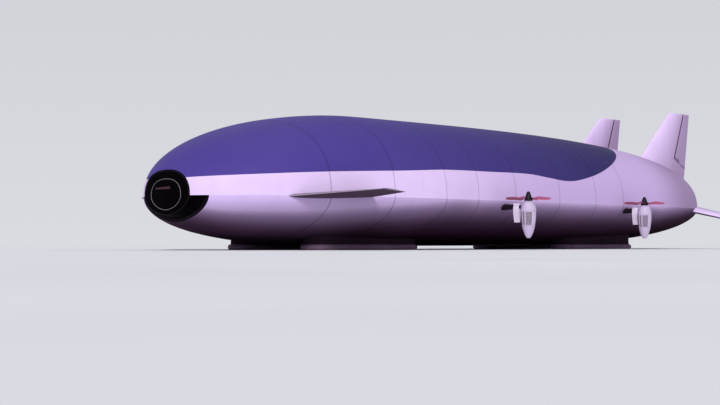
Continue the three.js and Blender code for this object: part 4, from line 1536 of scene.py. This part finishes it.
def nacelle_shapes(x, side):
    """The cowl with its recesses, the panels in them, their ribs, and the bands round the cowl."""
    downs = spread(55, 0, NACELLE_FOOT)
    cowl = Shape().loft([nacelle_ring(x, side, down, NACELLE_TURNS) for down in downs])
    recesses, panels, ribs, bands = [], Shape(), Shape(), Shape()
    for facing, half in NACELLE_PANELS:
        recess = nacelle_block(x, side, facing, half, 0, -PANEL_DEPTH, RECESS_OUT)
        recesses.append([Shape().shell(*recess)])
        limits = [limit - PANEL_DEPTH for limit in PANEL_LIMITS]
        panels.shell(*nacelle_block(x, side, facing, half * PANEL_FIT, PANEL_INSET, *limits))
        for at in spread(round(half / RIB_STEP) + 1, facing - half, facing + half)[1:-1]:
            ribs.shell(*nacelle_block(x, side, at, PANEL_RIB_HALF, PANEL_RIB_INSET, -PANEL_DEPTH,
                                      PANEL_RIB_PROUD - PANEL_DEPTH))
    for down in BAND_DOWNS:
        bands.loft([nacelle_ring(x, side, down + offset, NACELLE_TURNS, grow)
                    for offset, grow in BAND_SECTION], loop=True)
    return carved_shape(cowl, *recesses), panels, ribs, bands


def mount_shape(x, root, wing):
    """The fairing on the hull's side, with a bore for the shaft."""
    reach = wing - STUB_SPAN - MOUNT_END_GAP - root
    sections = [*MOUNT, (mix(MOUNT[1][0], reach, 0.5), *MOUNT_MIDDLE)]
    sections += [(reach + back, high, long) for back, high, long in MOUNT_END]
    bore = SHAFT_RADIUS + BORE_CLEAR
    sections += [(out, bore, bore) for out, _, _ in reversed(sections)]
    rings = [[in_frame(x + long * math.cos(a), root + out, TILT_HEIGHT + high * math.sin(a))
              for a in full_turn(48)] for out, high, long in sections]
    return Shape().loft(rings, loop=True)


def stub_shape(x, wing):
    edge = [(half * STUB_HALF, TILT_HEIGHT + mix(STUB_HIGH, STUB_LOW, down)) for half, down in STUB_OUTLINE]
    outline = edge + [(-u, z) for u, z in reversed(edge[1:])]
    return Shape().loft([[in_frame(x + u, wing + v, z) for u, z in outline]
                         for v in spread(7, -STUB_SPAN, STUB_SPAN)])


def shaft_shape(x, side, root, wing):
    """The tilt shaft from mount to nacelle, with collars at the stub wing and at the nacelle."""
    cowl_side = side - nacelle_size(NACELLE_TOP - TILT_HEIGHT)[0]
    shaft = Shape()
    collar = SHAFT_RADIUS + COLLAR_PROUD
    for low, high, radius in ((root + SHAFT_START, cowl_side + SHAFT_SUNK, SHAFT_RADIUS - SHAFT_FIT),
                              (wing + STUB_SPAN, wing + STUB_SPAN + COLLAR, collar),
                              (cowl_side - COLLAR, cowl_side, collar)):
        shaft.rod(in_frame(x, low, TILT_HEIGHT), in_frame(x, high, TILT_HEIGHT), radius, sides=48)
    return shaft


def blade_rings(centre, out):
    """Rings along a blade that points out from the hub's centre."""
    up = Vector((0, 0, 1))
    across = up.cross(out)
    rings = []
    for share in spread(22, BLADE[0][0], 1.0):
        chord, thick, pitch = (spline([(-row[0], row[k]) for row in BLADE], -share) for k in (1, 2, 3))
        ring = []
        for a in full_turn(24):
            c = chord * math.cos(a)
            t = thick * math.sin(a) * (1 - BLADE_FULLER * math.cos(a))
            flat = c * math.cos(pitch) - t * math.sin(pitch)
            rise = c * math.sin(pitch) + t * math.cos(pitch)
            ring.append(centre + out * (share * PROP_RADIUS) + across * flat + up * rise)
        rings.append(ring)
    return rings


def propeller_shape(x, side):
    """Spinner, hub, shaft into the nacelle and six blades with their shanks."""
    foot = NACELLE_TOP + SPINNER_RISE
    centre = in_frame(x, side, foot + BLADE_RISE)
    outline = [(share * HUB_RADIUS, high * SPINNER_HEIGHT) for share, high in SPINNER]
    shape = Shape().lathe(in_frame(x, side, foot), outline)
    shaft = in_frame(x, side, NACELLE_TOP - PROP_SHAFT_DEPTH), in_frame(x, side, foot + PROP_SHAFT_RISE)
    shape.rod(*shaft, PROP_SHAFT_RADIUS)
    low, high, thick, thin = SHANK
    for index in range(PROP_BLADES):
        turn = math.tau * (index + FIRST_BLADE) / PROP_BLADES
        out = Vector((math.cos(turn), math.sin(turn), 0))
        shape.loft(blade_rings(centre, out))
        shape.rod(centre + out * low, centre + out * high, thick, thin, sides=20)
    return shape


def engines(end):
    """One end's engines, to port and to starboard."""
    x, side_y, root, wing = ENGINES[end]
    mount, stub = mount_shape(x, root, wing), stub_shape(x, wing)
    shaft, propeller = shaft_shape(x, side_y, root, wing), propeller_shape(x, side_y)
    cowl, panels, ribs, bands = nacelle_shapes(x, side_y)
    for side, turn in SIDES.items():
        suffix = f"{end}_{side}"
        body, mount_node, stub_node = f"engine_{suffix}", f"engine_mount_{suffix}", f"stub_wing_{suffix}"
        nacelle, spinner = f"nacelle_{suffix}", f"propeller_{suffix}"
        piece(f"{mount_node}_fairing", turn(mount), DARK, "ship", [mount_node])
        piece(f"{stub_node}_panel", turn(stub), STUB_WHITE, body, [stub_node], bevel=0.003)
        piece(f"tilt_shaft_{suffix}", turn(shaft), DARK, body, bevel=0.001)
        piece(f"{nacelle}_cowl", turn(cowl), ENGINE_WHITE, body, [nacelle])
        piece(f"{nacelle}_panels", turn(panels), PANEL, body)
        piece(f"{nacelle}_ribs", turn(ribs), RIB, body)
        piece(f"{nacelle}_bands", turn(bands), PANEL, body)
        blades = piece(f"{spinner}_blades", turn(propeller), PROP, spinner, [spinner])
        carry(blades, "reach", lambda vertex: math.hypot(
            vertex.co.x - MID_X - x, abs(vertex.co.y) - side_y) / PROP_RADIUS)


# Floor, light and camera

FLOOR_HALF = 90
HORIZON = (0.70, 0.71, 0.75)
ZENITH = (0.46, 0.47, 0.53)
ZENITH_FROM = 0.7
SUN_ENERGY = 2.1
SUN_ANGLE = math.radians(14)
SUN_PLACE = (31, 27.5, 29)
SUN_AIM = (0, 0, 1)
SUN_COLOUR = (1.0, 0.985, 0.97)
CAMERA_PLACE = (24.81, 21.37, 0.12)
CAMERA_LENS = 69.98
PHOTO_YAW = math.atan2(-0.6875, -0.6876)
TILT_UP = math.radians(1.7)


def floor():
    corners = [[(x, y, 0) for x in (-FLOOR_HALF, FLOOR_HALF)] for y in (-FLOOR_HALF, FLOOR_HALF)]
    obj = raw_object("floor", Shape().grid(corners))
    nodes = Finish("floor_pale", (0.80, 0.80, 0.82), 0.75)
    nodes.colour(nodes.blend(nodes.mottle(0.4, 3), (0.79, 0.79, 0.81), (0.82, 0.82, 0.84)))
    paint_with(obj, nodes.material)


def light():
    """A soft sky, brighter at the horizon, and one soft sun on the camera's side."""
    world = bpy.data.worlds.new("studio")
    bpy.context.scene.world = world
    world.use_nodes = True
    tree = world.node_tree
    where = tree.nodes.new("ShaderNodeTexCoord")
    height = tree.nodes.new("ShaderNodeSeparateXYZ")
    fade = tree.nodes.new("ShaderNodeValToRGB")
    horizon, zenith = fade.color_ramp.elements
    horizon.color = (*HORIZON, 1)
    zenith.color = (*ZENITH, 1)
    zenith.position = ZENITH_FROM
    tree.links.new(where.outputs["Generated"], height.inputs[0])
    tree.links.new(height.outputs["Z"], fade.inputs["Fac"])
    tree.links.new(fade.outputs["Color"], tree.nodes["Background"].inputs["Color"])
    sun = bpy.data.lights.new("key", "SUN")
    sun.energy = SUN_ENERGY
    sun.color = SUN_COLOUR
    sun.angle = SUN_ANGLE
    aimed_object("key", sun, SUN_PLACE, Vector(SUN_AIM) - Vector(SUN_PLACE))


def camera():
    data = bpy.data.cameras.new("camera")
    data.lens = CAMERA_LENS
    data.sensor_width = 36
    data.clip_end = 500
    level = math.cos(TILT_UP)
    aim = Vector((math.cos(PHOTO_YAW) * level, math.sin(PHOTO_YAW) * level, math.sin(TILT_UP)))
    bpy.context.scene.camera = aimed_object("camera", data, CAMERA_PLACE, aim)
    bpy.context.scene.view_settings.view_transform = "Standard"


camera()
floor()
light()
upper_skin()
lower_skin()
chin_edges()
hull_seams()
nose_glass()
nose_trim()
bay()
for hoist_end, station_x in HOISTS.items():
    hoist(hoist_end, station_x)
for cushion_end in CUSHIONS:
    cushions(cushion_end)
wing_pair(CANARD, "canard", "canard_flap", CANARD_SHADE, CANARD_SEAL, strips=True)
wing_pair(TAILPLANE, "tailplane", "elevator", SURFACE_SHADED, SEAL)
wing_pair(FIN, "fin", "rudder", SURFACE_SHADED, SEAL)
for engine_end in ENGINES:
    engines(engine_end)
